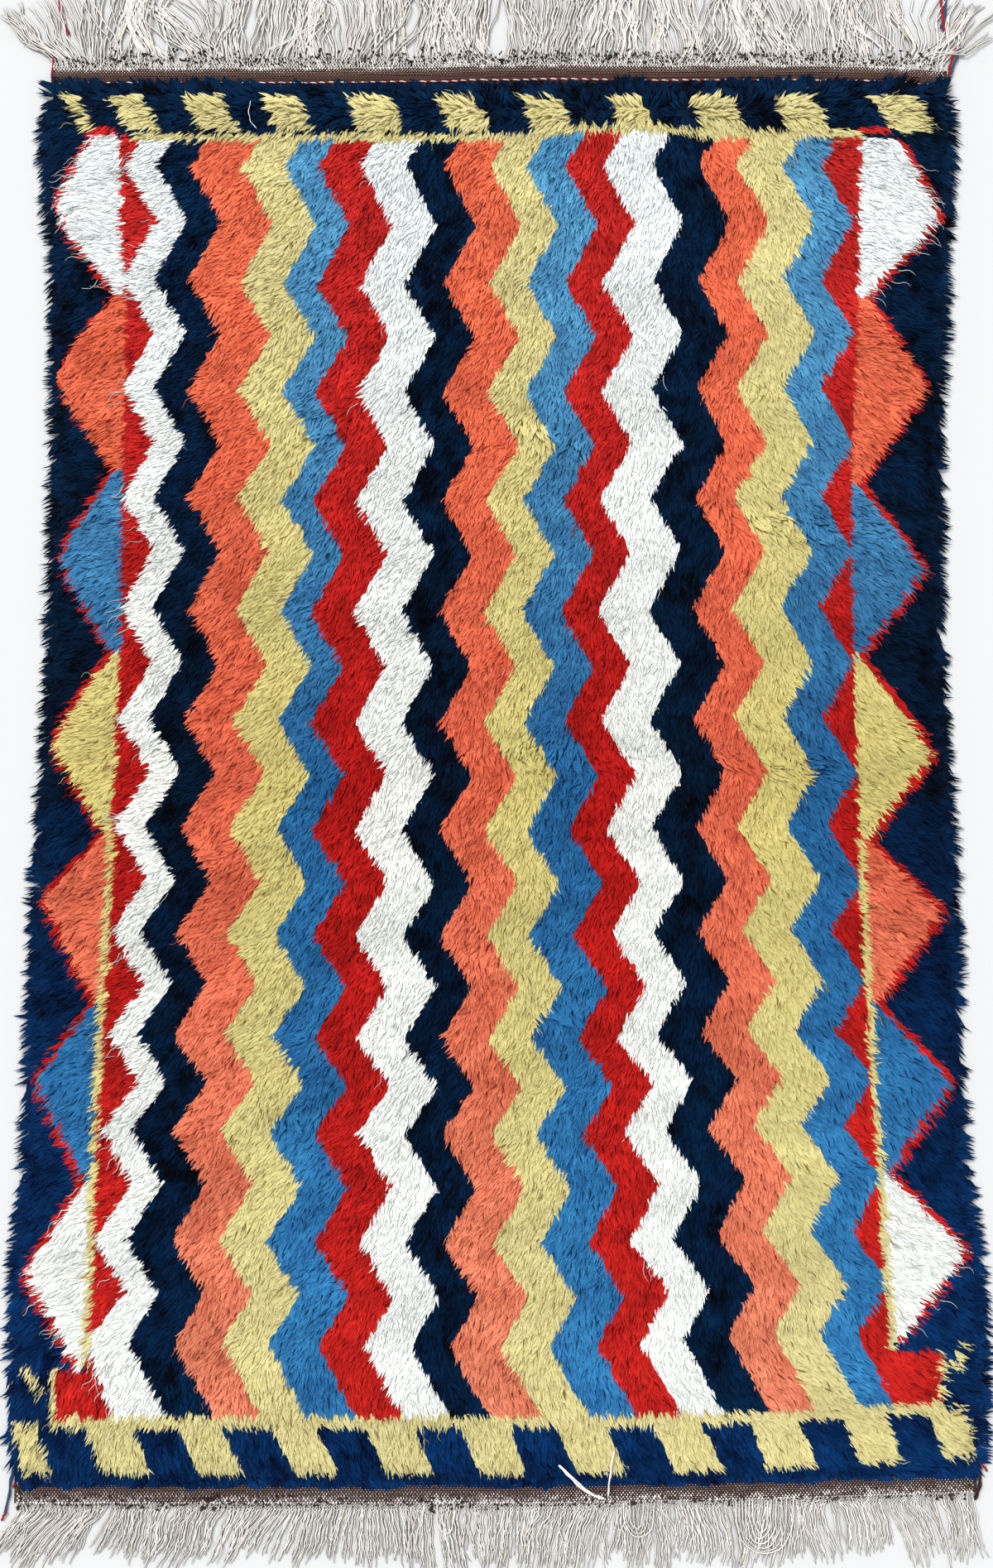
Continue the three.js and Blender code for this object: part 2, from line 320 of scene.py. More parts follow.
HEAD_CHECKS = table(
    Check, (-520, 18, 25), (-451, 44, 32), (-357, 50, 28), (-261, 47, 18), (-152, 56, 16), (-43, 50, 21),
    (60, 50, 15), (166, 44, 16), (277, 54, 14), (379, 52, 14), (505, 55, 25),
)
FOOT_CHECKS = table(
    Check, (-548, 34, 20), (-446, 56, 26), (-336, 52, 30), (-226, 52, 31), (-114, 57, 28), (-3, 57, 22),
    (111, 60, 28), (225, 57, 27), (337, 58, 22), (442, 50, 19), (538, 42, 19),
)
HEAD_LINE = Curve((-460, 810), (-450, 802), (40, 802), (90, 812), (210, 812), (260, 806))
FOOT_BAND = -747.0


def between(values: np.ndarray, low: float, high: float) -> np.ndarray:
    """Return which values lie between two others."""
    return (values > low) & (values < high)


def striped(x: np.ndarray, y: np.ndarray) -> np.ndarray:
    """Return the wools of the striped field."""
    wool = np.full(x.shape, int(Wool.RED))
    across = x - TURN_REACH * ZIGZAG(y)
    for number in reversed(range(len(STRIPES))):
        edge = np.interp(y, STRIPE_ROWS[::-1], STRIPES[number][::-1])
        wool[across < edge] = STRIPE_WOOLS[number % len(STRIPE_WOOLS)]
    return wool


def lay_diamonds(wool: np.ndarray, out: np.ndarray, line: np.ndarray, y: np.ndarray,
                 rows: tuple[Diamond, ...]) -> None:
    """Lay one side's border and half-diamonds over the field.

    out is how far each place lies out from the rug's middle on this side, and line how far out the
    half-diamonds' straight side lies.
    """
    beyond = out > line
    joint = line + DIAMOND_JOINT
    wool[beyond] = np.where(y[beyond] < BLUER_BELOW, Wool.INDIGO, Wool.NAVY)
    for kind, row in zip(DIAMOND_WOOLS, rows):
        within = beyond & (y <= row.top) & (y > row.foot)
        falling = (row.top - y) / (row.top - row.tip_y)
        rising = (y - row.foot) / (row.tip_y - row.foot)
        edge = joint + (row.tip_x - joint) * np.where(y > row.tip_y, falling, rising)
        wool[within & (out < edge)] = Wool.RED
        wool[within & (out < edge - row.outline)] = kind
    wool[(np.abs(out - line) < 4.4) & between(y, -690, -65)] = Wool.YELLOW


def lay_checks(wool: np.ndarray, x: np.ndarray, y: np.ndarray, top: float, shade_colour: float,
               rows: tuple[Check, ...]) -> None:
    """Lay one end band's yellow checks, from their top down."""
    down = (top - y) / shade_colour
    for row in rows:
        middle = row.x + row.lean * (down - 0.5)
        wool[between(down, 0, 1) & (np.abs(x - middle) < row.width / 2)] = Wool.YELLOW


def lay_foot_corners(wool: np.ndarray, x: np.ndarray, y: np.ndarray) -> None:
    """Lay the red blocks, their yellow sides and the small yellow marks at the foot."""
    wool[(y < -694) & between(x, -520, -455) & (wool == Wool.INDIGO)] = Wool.RED
    wool[(y < -680) & between(x, 440, 524) & (wool != Wool.BLUE)] = Wool.RED
    wool[(y < -690) & between(x, -526, -519)] = Wool.YELLOW
    wool[(y < -676) & between(x, 523, 529)] = Wool.YELLOW
    left_mark = (np.abs(x + 545 - (-707 - y) * 0.6) < 4.5) & between(y, -727, -688)
    right_mark = (np.abs(x - 547 - (y + 687) * 0.45) < 5) & between(y, -705, -671)
    wool[left_mark | right_mark] = Wool.YELLOW


def wool_at(x: np.ndarray, y: np.ndarray) -> np.ndarray:
    """Return the number of the wool that is knotted at each place."""
    low = np.clip((-y - 300) / 400, 0, 1)
    corner = np.clip(x / FOOT_RISE_SPAN, 0, 1)
    level = y - FOOT_RISE * corner ** 1.5 * low
    share = smooth((-y - 80) / 200)
    sag = (UPPER_SAG(x) * (1 - share) + LOWER_SAG(x) * share) * smooth((760 - np.abs(y)) / 60)
    wool = striped(x, level - sag)
    lay_diamonds(wool, -x, LEFT_LINE(level), level, LEFT_DIAMONDS)
    lay_diamonds(wool, x, RIGHT_LINE(level), level, RIGHT_DIAMONDS)
    lay_foot_corners(wool, x, level)
    band = level - 10.0 * corner ** 3.5
    wool[band < FOOT_BAND] = Wool.INDIGO
    wool[between(band, FOOT_BAND - 13, FOOT_BAND) & (np.abs(x) < 527)] = Wool.YELLOW
    lay_checks(wool, x, band, -755, 59, FOOT_CHECKS)
    line = HEAD_LINE(x)
    wool[y > line - 5] = Wool.NAVY
    wool[between(y, line - 5, line + 5) & between(x, -450, 455)] = Wool.YELLOW
    left_dash = between(x, -503, -470) & between(y, 804, 813)
    right_dash = between(x, 453, 494) & between(y, 807, 816)
    wool[left_dash | right_dash] = Wool.RED
    lay_checks(wool, x, y, 858, 48, HEAD_CHECKS)
    return wool


# Finishes

Colour = tuple[float, float, float]
DYE_REACH = 650.0


def linear(colour: Colour) -> tuple[float, float, float, float]:
    """Turn a colour of 0 to 255 as seen on a screen into a shader's."""
    shares = [value / 255 for value in colour]
    parts = [s / 12.92 if s <= 0.04045 else ((s + 0.055) / 1.055) ** 2.4 for s in shares]
    return (parts[0], parts[1], parts[2], 1.0)


class Wiring:
    """A node tree with short ways of adding and joining its nodes."""

    def __init__(self, tree: NodeTree) -> None:
        """Hold the tree."""
        self.tree = tree

    def feed(self, node: Node, values: dict[str | int, object]) -> None:
        """Give a node's inputs what they hold: a socket to join, or a value to set."""
        for name, value in values.items():
            if isinstance(value, NodeSocket):
                self.tree.links.new(value, node.inputs[name])
            else:
                node.inputs[name].default_value = value

    def add(self, kind: str, values: dict[str | int, object] | None = None,
            **settings: object) -> Node:
        """Add a shader node of one kind, set its options and feed its inputs."""
        node = self.tree.nodes.new(f"ShaderNode{kind}")
        for name, value in settings.items():
            setattr(node, name, value)
        self.feed(node, values or {})
        return node

    def maths(self, operation: str, *values: object, clamp: bool = False) -> NodeSocket:
        """Add a sum of numbers and return its result."""
        return self.add("Math", dict(enumerate(values)), operation=operation, use_clamp=clamp).outputs[0]

    def blend(self, share: object, first: object, second: object, how: str = "MIX") -> NodeSocket:
        """Add a mix of two colours and return its result."""
        return self.add("Mix", {0: share, 6: first, 7: second}, data_type="RGBA", blend_type=how).outputs[2]

    def spread(self, value: object, low: float, high: float,
               to_low: float = 0.0, to_high: float = 1.0) -> NodeSocket:
        """Spread a value from one range over another and return the result."""
        values = {"Value": value, "From Min": low, "From Max": high, "To Min": to_low, "To Max": to_high}
        return self.add("MapRange", values).outputs["Result"]

    def noise(self, place: object, scale: float, detail: float,
              roughness: float = 0.5, distortion: float = 0.0) -> NodeSocket:
        """Add noise and return its strength."""
        values = {"Vector": place, "Scale": scale, "Detail": detail,
                  "Roughness": roughness, "Distortion": distortion}
        return self.add("TexNoise", values).outputs["Fac"]

    def attribute(self, name: str, output: str = "Fac") -> NodeSocket:
        """Read what a piece stores under a name."""
        return self.add("Attribute", attribute_name=name).outputs[output]

    def split(self, place: object) -> tuple[NodeSocket, NodeSocket]:
        """Split a place and return its X and its Y."""
        outputs = self.add("SeparateXYZ", {0: place}).outputs
        return outputs["X"], outputs["Y"]


def new_group(name: str, takes: dict[str, str], gives: dict[str, str]) -> tuple[Wiring, object, Node]:
    """Start a node group, and return its wiring, the sockets of its inputs and its output node."""
    tree = bpy.data.node_groups.new(name, "ShaderNodeTree")
    for way, labels in (("INPUT", takes), ("OUTPUT", gives)):
        for label, kind in labels.items():
            tree.interface.new_socket(name=label, in_out=way, socket_type=f"NodeSocket{kind}")
    return Wiring(tree), tree.nodes.new("NodeGroupInput").outputs, tree.nodes.new("NodeGroupOutput")


def fibre_shade_group() -> NodeTree:
    """Build a lock of wool's shade from its own map and number: painted shade, darker towards the root where
    neighbouring locks cover it, plus the lock's own tone and its fibre streaks.
    """
    wiring, given, out = new_group("wool_fibres", {"Strand": "Vector", "Lock": "Float", "Fibres": "Float"},
                                   {"Shade": "Float", "Height": "Float"})
    side, along = wiring.split(given["Strand"])
    across = wiring.maths("MULTIPLY", side, given["Fibres"])
    apart = wiring.maths("MULTIPLY_ADD", given["Lock"], 391.7, across)
    place = wiring.add("CombineXYZ", {"X": apart, "Y": wiring.maths("MULTIPLY", along, 2.2)})
    fine = wiring.spread(wiring.noise(place.outputs[0], 1.0, 1.5, 0.6, 0.35), 0.3, 0.7)
    # Painted shade: each lock darker towards its root, where its neighbours lie over it, and lighter towards
    # its tip
    lift = wiring.spread(along, 0.3, 0.95, 0.12, 0.32)
    own = wiring.maths("MULTIPLY", given["Lock"], 0.6)
    streak = wiring.maths("MULTIPLY", fine, 0.2)
    shade = wiring.maths("ADD", wiring.maths("ADD", lift, own), streak, clamp=True)
    wiring.feed(out, {"Shade": shade, "Height": fine})
    return wiring.tree


def dye_group() -> NodeTree:
    """Build the slow change of a dye along the rug and from one length of yarn to the next."""
    wiring, given, out = new_group(
        "dye_lots",
        {"Place": "Vector", "Head": "Color", "Middle": "Color", "Foot": "Color",
         "Band": "Float", "Start": "Float"},
        {"Colour": "Color"},
    )
    x, y = wiring.split(given["Place"])
    to_head, to_foot = (wiring.spread(y, 0.0, reach * MM) for reach in (DYE_REACH, -DYE_REACH))
    upper = wiring.blend(to_head, given["Middle"], given["Head"])
    dye = wiring.blend(to_foot, upper, given["Foot"])
    down = wiring.maths("MULTIPLY", y, given["Band"])
    across = wiring.maths("MULTIPLY", x, 1.3)
    place = wiring.add("CombineXYZ", {"X": across, "Y": down, "Z": given["Start"]})
    tone = wiring.spread(wiring.noise(place.outputs[0], 1.0, 2.0, 0.55), 0.36, 0.64, 0.9, 1.08)
    wiring.feed(out, {"Colour": wiring.blend(1.0, dye, tone, "MULTIPLY")})
    return wiring.tree


def ply_group() -> NodeTree:
    """Build the twist of a plied yarn from the yarn's own map: a shade for painted light on its ridges and
    painted shade in its grooves, and a height.
    """
    wiring, given, out = new_group("yarn_ply", {"Strand": "Vector", "Turns": "Float"},
                                   {"Shade": "Float", "Height": "Float"})
    side, along = wiring.split(given["Strand"])
    phase = wiring.maths("ADD", wiring.maths("MULTIPLY", along, given["Turns"]), side)
    wave = wiring.maths("SINE", wiring.maths("MULTIPLY", phase, 4 * math.pi))
    ridge = wiring.maths("MULTIPLY", wiring.spread(wave, -1.0, 1.0), 0.4)
    fuzz = wiring.maths("MULTIPLY", wiring.noise(given["Strand"], 9.0, 2.0), 0.6)
    mixed = wiring.maths("ADD", ridge, fuzz, clamp=True)
    wiring.feed(out, {"Shade": mixed, "Height": mixed})
    return wiring.tree


class Effects:
    """The node groups, built once and placed in each material that needs them."""

    def __init__(self) -> None:
        """Build the groups."""
        self.fibres, self.dye, self.ply = fibre_shade_group(), dye_group(), ply_group()


def new_material(name: str) -> tuple[Material, Wiring, Node]:
    """Start a material, and return it with its wiring and its shader node."""
    material = bpy.data.materials.new(name)
    material.use_nodes = True
    wiring = Wiring(material.node_tree)
    shader = next(node for node in wiring.tree.nodes if node.type == "BSDF_PRINCIPLED")
    return material, wiring, shader


def dress(wiring: Wiring, shader: Node, colour: object, height: object, relief: tuple[float, float],
          roughness: float, gloss: float, sheen: float = 0.0) -> None:
    """Give a shader its colour, its shine and the relief of a height, of one strength and depth."""
    strength, depth = relief
    bump = wiring.add("Bump", {"Strength": strength, "Distance": depth, "Height": height})
    wiring.feed(shader, {"Base Color": colour, "Normal": bump.outputs["Normal"], "Roughness": roughness,
                         "Specular IOR Level": gloss, "Sheen Weight": sheen})


@dataclass(frozen=True)
class WoolFinish:
    """Dyed pile wool: its tones at head, middle and foot, and the colours of the painted shade between its
    locks and in the dark gaps between its tufts.
    """

    wool: Wool
    head: Colour
    middle: Colour
    foot: Colour
    # The painted shade between the locks, also the dark end of each lock's random tone
    shade_and_tone_tint: Colour
    # The painted shade of the dark locks that stand for the shadows between tufts
    crease_shade: Colour
    # How strongly each tuft's random tone shows: partly uneven dye, partly painted sheen on tuft tops and
    # painted shade between them
    relief: float
    # The share of hair locks that are painted dark as those shadows
    shadow_cracks: float
    sheen: float = 0.04
    band: float = 14.0

    def tones(self) -> tuple[tuple[float, ...], ...]:
        """Return the dye's tones at head, middle and foot for a shader."""
        return linear(self.head), linear(self.middle), linear(self.foot)

    def along(self, y: np.ndarray, depth: float) -> np.ndarray:
        """Return the dye at places along the rug, darkened by a share of the painted shade between the locks.
        """
        head, middle, foot = (np.array(tone) for tone in self.tones())
        shade_and_tone_tint = 1 + (np.array(linear(self.shade_and_tone_tint)) - 1) * depth
        share = np.clip(y / DYE_REACH, -1, 1)[:, None]
        upper, lower = np.maximum(share, 0), np.maximum(-share, 0)
        return (middle + (head - middle) * upper + (foot - middle) * lower) * shade_and_tone_tint

    def build(self, effects: Effects) -> Material:
        """Build the material."""
        material, wiring, shader = new_material(f"wool_{self.wool.name.lower()}")
        place = wiring.add("TexCoord").outputs["Object"]
        strand = wiring.add("UVMap", uv_map="strand").outputs["UV"]
        lock = wiring.attribute("lock")
        given = {"Strand": strand, "Lock": lock, "Fibres": 5.0}
        fibres = wiring.add("Group", given, node_tree=effects.fibres)
        lots = {"Place": place, "Band": self.band, "Start": self.wool + 1.0}
        lots.update(zip(("Head", "Middle", "Foot"), self.tones()))
        dye = wiring.add("Group", lots, node_tree=effects.dye).outputs["Colour"]
        # Painted shade: the dye darkened between the locks, and darker still for the locks that stand for the
        # gaps between tufts
        shade_colour, crease_shade = (wiring.blend(1.0, dye, linear(shade_and_tone_tint), "MULTIPLY") for shade_and_tone_tint in (self.shade_and_tone_tint, self.crease_shade))
        lit = wiring.blend(fibres.outputs["Shade"], shade_colour, dye)
        # Painted shade: locks whose number lies below -0.8 take the crease_shade colour
        colour = wiring.blend(wiring.spread(lock, -0.8, -1.6), lit, crease_shade)
        dress(wiring, shader, colour, fibres.outputs["Height"], (0.8, 0.0006), 0.9, 0.05, self.sheen)
        shader.inputs["Sheen Roughness"].default_value = 0.6
        return material


@dataclass(frozen=True)
class YarnFinish:
    """Plied yarn, undyed or dyed, with painted shade on its lower sides and in the grooves of its twist."""

    name: str
    light: Colour
    dark: Colour
    shade_colour: Colour

    def build(self, effects: Effects) -> Material:
        """Build the material."""
        material, wiring, shader = new_material(self.name)
        strand = wiring.add("UVMap", uv_map="strand").outputs["UV"]
        ply = wiring.add("Group", {"Strand": strand, "Turns": 0.33}, node_tree=effects.ply)
        # Painted light and shade: the ply's ridges lighter and its grooves darker, with each yarn's own
        # random tone
        own = wiring.spread(wiring.attribute("lock"), 0.0, 1.0, -0.3, 0.3)
        shade = wiring.maths("ADD", ply.outputs["Shade"], own, clamp=True)
        lit = wiring.blend(shade, linear(self.dark), linear(self.light))
        # Painted shade: each yarn darker down its lower sides, where it lies against its neighbours
        flank_shade = wiring.maths("POWER", wiring.spread(wiring.attribute("over"), -0.5, 0.6, 1.0, 0.0), 1.5)
        colour = wiring.blend(flank_shade, lit, linear(self.shade_colour))
        dress(wiring, shader, colour, ply.outputs["Height"], (0.7, 0.0005), 0.88, 0.12, 0.1)
        return material


KNOT_WIDE = 8.5
KNOT_ROW = 11.0
WEFT: Colour = (112, 78, 62)
FLAT_GROUND: Colour = (62, 42, 34)


def knot_material() -> Material:
    """Build the ground weave's finish: knots in the pile's wools, darkened by painted shade on the top side
    under the pile, with brown weft between their rows.
    """
    material, wiring, shader = new_material("ground_weave")
    place = wiring.add("TexCoord").outputs["Object"]
    x, y = wiring.split(place)
    across, rows = (
        wiring.maths("SINE", wiring.maths("MULTIPLY", way, 2 * math.pi / (pitch * MM)))
        for way, pitch in ((x, KNOT_WIDE), (y, KNOT_ROW))
    )
    underside = wiring.attribute("underside")
    weft = wiring.maths("MULTIPLY", wiring.spread(rows, 0.15, 0.55), underside)
    combed = wiring.add("Mapping", {"Vector": place, "Scale": (1.0, 0.16, 1.0)})
    grain = wiring.noise(combed.outputs[0], 620.0, 2.0)
    woven = wiring.blend(weft, wiring.attribute("wool", "Color"), linear(WEFT))
    colour = wiring.blend(1.0, woven, wiring.spread(grain, 0.3, 0.7, 0.82, 1.08), "MULTIPLY")
    knots = wiring.maths("ADD", wiring.maths("MULTIPLY", across, 0.35), wiring.maths("MULTIPLY", rows, -0.6))
    lump = wiring.maths("MULTIPLY", knots, underside)
    height = wiring.maths("ADD", lump, wiring.maths("MULTIPLY", grain, 0.5))
    dress(wiring, shader, colour, height, (0.8, 0.0008), 0.92, 0.1)
    return material


# The wools, in the order of their numbers. The fourth colour is the painted shade between the locks and the
# dark end of each lock's random tone; the fifth is the painted shade of the dark gaps between tufts

WOOLS = table(
    WoolFinish,
    (Wool.NAVY, (4, 33, 62), (2, 22, 44), (2, 32, 63),
     (40, 46, 58), (26, 30, 40), 1.2, 0.05, 0.0),
    (Wool.WHITE, (229, 234, 233), (228, 229, 223), (232, 235, 231),
     (230, 228, 224), (212, 209, 204), 0.2, 0.0),
    (Wool.RED, (211, 44, 40), (189, 26, 23), (208, 37, 32),
     (134, 84, 86), (110, 50, 56), 0.5, 0.35, 0.02),
    (Wool.CORAL, (244, 120, 84), (227, 109, 78), (236, 141, 107),
     (176, 124, 116), (140, 84, 76), 0.5, 0.42, 0.04, 11.0),
    (Wool.YELLOW, (222, 214, 154), (207, 196, 124), (218, 211, 152),
     (206, 190, 160), (156, 134, 98), 0.22, 0.18),
    (Wool.BLUE, (92, 162, 200), (40, 104, 152), (55, 131, 183),
     (126, 146, 176), (76, 94, 124), 0.55, 0.5, 0.02),
    (Wool.INDIGO, (3, 29, 52), (2, 29, 58), (6, 48, 96),
     (52, 66, 96), (34, 44, 68), 0.9, 0.1, 0.0),
)
# Yarn colours: light and dark for the ply's painted light and shade and each yarn's random tone, then the
# painted shade on its lower sides
WARP_YARN = YarnFinish("yarn_ivory", (255, 252, 247), (212, 205, 196), (126, 116, 106))
BROWN_YARN = YarnFinish("yarn_brown", (92, 63, 51), (48, 30, 24), (24, 14, 11))
DARK_YARN = YarnFinish("yarn_dark_brown", (72, 46, 38), (30, 17, 14), (12, 7, 7))
RED_YARN = YarnFinish("yarn_red", (186, 38, 42), (116, 16, 22), (64, 8, 12))
WHITE_YARN = YarnFinish("yarn_white", (255, 253, 250), (226, 221, 216), (168, 158, 150))
FRINGE_YARN = YarnFinish("yarn_fringe", (250, 247, 242), (204, 198, 188), (88, 76, 62))
FOOT_YARN = YarnFinish("yarn_foot_brown", (74, 48, 38), (38, 23, 18), (16, 10, 8))
SLATE_YARN = YarnFinish("yarn_slate", (78, 100, 136), (34, 46, 72), (16, 22, 38))


# Making meshes

def mesh_piece(name: str, points: np.ndarray, faces: list[np.ndarray], material: Material) -> Object:
    """Make an object at the origin from points in millimetres and arrays of faces."""
    mesh = bpy.data.meshes.new(name)
    corners = np.concatenate([part.ravel() for part in faces])
    sizes = np.concatenate([np.full(len(part), part.shape[1]) for part in faces])
    starts = np.concatenate([[0], np.cumsum(sizes)[:-1]])
    mesh.vertices.add(len(points))
    mesh.vertices.foreach_set("co", (points * MM).astype(np.float32).ravel())
    mesh.loops.add(len(corners))
    mesh.loops.foreach_set("vertex_index", corners.astype(np.int32))
    mesh.polygons.add(len(sizes))
    mesh.polygons.foreach_set("loop_start", starts.astype(np.int32))
    mesh.update(calc_edges=True)
    mesh.validate()
    mesh.shade_smooth()
    mesh.materials.append(material)
    piece = bpy.data.objects.new(name, mesh)
    bpy.context.collection.objects.link(piece)
    return piece


def read_points(piece: Object) -> np.ndarray:
    """Return a piece's points in metres, in rows of three."""
    spots = np.empty(len(piece.data.vertices) * 3)
    piece.data.vertices.foreach_get("co", spots)
    return spots.reshape(-1, 3)


def move_points(piece: Object, points: np.ndarray) -> None:
    """Move a piece's points to new places, in metres."""
    piece.data.vertices.foreach_set("co", points.ravel())
    piece.data.update()


def set_numbers(piece: Object, name: str, values: np.ndarray) -> None:
    """Give each point of a piece a number."""
    attribute = piece.data.attributes.new(name, "FLOAT", "POINT")
    attribute.data.foreach_set("value", values.astype(np.float32))


def set_map(piece: Object, name: str, *places: np.ndarray) -> None:
    """Give each face corner of a piece a place on a map."""
    corners = np.concatenate([part.reshape(-1, 2) for part in places])
    piece.data.uv_layers.new(name=name).uv.foreach_set("vector", corners.astype(np.float32).ravel())


def cells(count: int, tall: float) -> tuple[np.ndarray, np.ndarray]:
    """Share a square map out in cells, about so many times taller than wide.

    Returns each cell's low corner, and the size of a cell.
    """
    columns = max(1, math.ceil(math.sqrt(count * tall)))
    rows = math.ceil(count / columns)
    number = np.arange(count)
    corner = np.stack([(number % columns) / columns, (number // columns) / rows], axis=1)
    return corner, np.array([1 / columns, 1 / rows])


def add_piece(piece: Object, slot: str, *nodes: str) -> Object:
    """Let a piece ride on the rug's body and stand for its nodes. The slot is not used."""
    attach(piece, BODY)
    if nodes:
        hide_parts(*nodes)
    log.info("%s: %d faces", piece.name, len(piece.data.polygons))
    return piece


@dataclass
class Tubes:
    """Many yarns of one kind, joined in one mesh.

    paths holds each yarn's points, radii its radius at each of them.
    """

    name: str
    paths: np.ndarray
    radii: np.ndarray
    sides: int = 3
    flatten: float = 1.0
    seed: int = 1

    def frames(self) -> tuple[np.ndarray, np.ndarray]:
        """Return a level and an upright direction across each yarn at each point."""
        ahead = np.gradient(self.paths, axis=1)
        ahead /= np.linalg.norm(ahead, axis=2, keepdims=True) + 1e-9
        level = np.stack([-ahead[..., 1], ahead[..., 0], np.zeros(ahead.shape[:2])], axis=2)
        level /= np.linalg.norm(level, axis=2, keepdims=True) + 1e-9
        return level, np.cross(ahead, level)

    def build(self, material: Material, slot: str = "warp", *nodes: str) -> Object:
        """Build the joined mesh with its maps, and add it to the rug."""
        count, steps, _ = self.paths.shape
        sides = self.sides
        level, upright = self.frames()
        angle = math.pi / 2 + 2 * math.pi * (np.arange(sides) + (sides + 1) % 2 * 0.5) / sides
        across = np.cos(angle)[None, None, :, None] * level[:, :, None, :]
        over = np.sin(angle)[None, None, :, None] * upright[:, :, None, :] * self.flatten
        points = self.paths[:, :, None, :] + (across + over) * self.radii[:, :, None, None]
        number = np.arange(count * steps * sides).reshape(count, steps, sides)
        turned = np.roll(number, -1, axis=2)
        walls = np.stack([number[:, :-1], turned[:, :-1], turned[:, 1:], number[:, 1:]], axis=-1)
        start_caps = number[:, 0, ::-1].reshape(-1, sides)
        end_caps = number[:, -1, :].reshape(-1, sides)
        faces = [walls.reshape(-1, 4), start_caps, end_caps]
        piece = mesh_piece(self.name, points.reshape(-1, 3), faces, material)
        own = np.random.default_rng(self.seed).uniform(0, 1, count)
        set_numbers(piece, "lock", np.repeat(own, steps * sides))
        # Each point's height in its yarn's section, which the yarn finish turns into painted shade on the
        # lower sides
        set_numbers(piece, "over", np.tile(np.sin(angle), count * steps))
        self.lay_maps(piece, count, steps, sides)
        return add_piece(piece, slot, *nodes)

    def lay_maps(self, piece: Object, count: int, steps: int, sides: int) -> None:
        """Lay the yarn's own map and the map that gives each yarn its own cell."""
        lengths = np.linalg.norm(np.diff(self.paths, axis=1), axis=2)
        run = np.concatenate([np.zeros((count, 1)), np.cumsum(lengths, axis=1)], axis=1)
        side = np.arange(sides)
        low_u = np.broadcast_to(side / sides, (count, steps - 1, sides))
        high_u = low_u + 1 / sides
        low_v = np.broadcast_to(run[:, :-1, None], low_u.shape)
        high_v = np.broadcast_to(run[:, 1:, None], low_u.shape)
        own = np.stack([np.stack([low_u, low_v], -1), np.stack([high_u, low_v], -1),
                        np.stack([high_u, high_v], -1), np.stack([low_u, high_v], -1)], axis=3)
        cap = np.stack([np.cos(2 * math.pi * side / sides), np.sin(2 * math.pi * side / sides)], -1) * 0.02
        start = np.zeros((count, sides, 2)) + cap[None, ::-1]
        end = np.stack([np.zeros(count), run[:, -1]], -1)[:, None] + cap[None]
        set_map(piece, "strand", own, start, end)
        corner, size = cells(count, 0.02 * steps * steps / 4)
        total = run[:, -1][:, None, None, None, None]
        flat = own / np.concatenate([np.ones_like(total), total], axis=-1) * (0.9, 0.84) + (0.05, 0.08)
        flat = corner[:, None, None, None] + flat * size
        cap_flat = (cap + 0.02) / 0.04 * (0.5, 0.05)
        start_flat = corner[:, None] + (cap_flat[None, ::-1] + (0.25, 0.01)) * size
        end_flat = corner[:, None] + (cap_flat[None] + (0.25, 0.94)) * size
        set_map(piece, "OFBake", flat, start_flat, end_flat)


# The rug's pieces


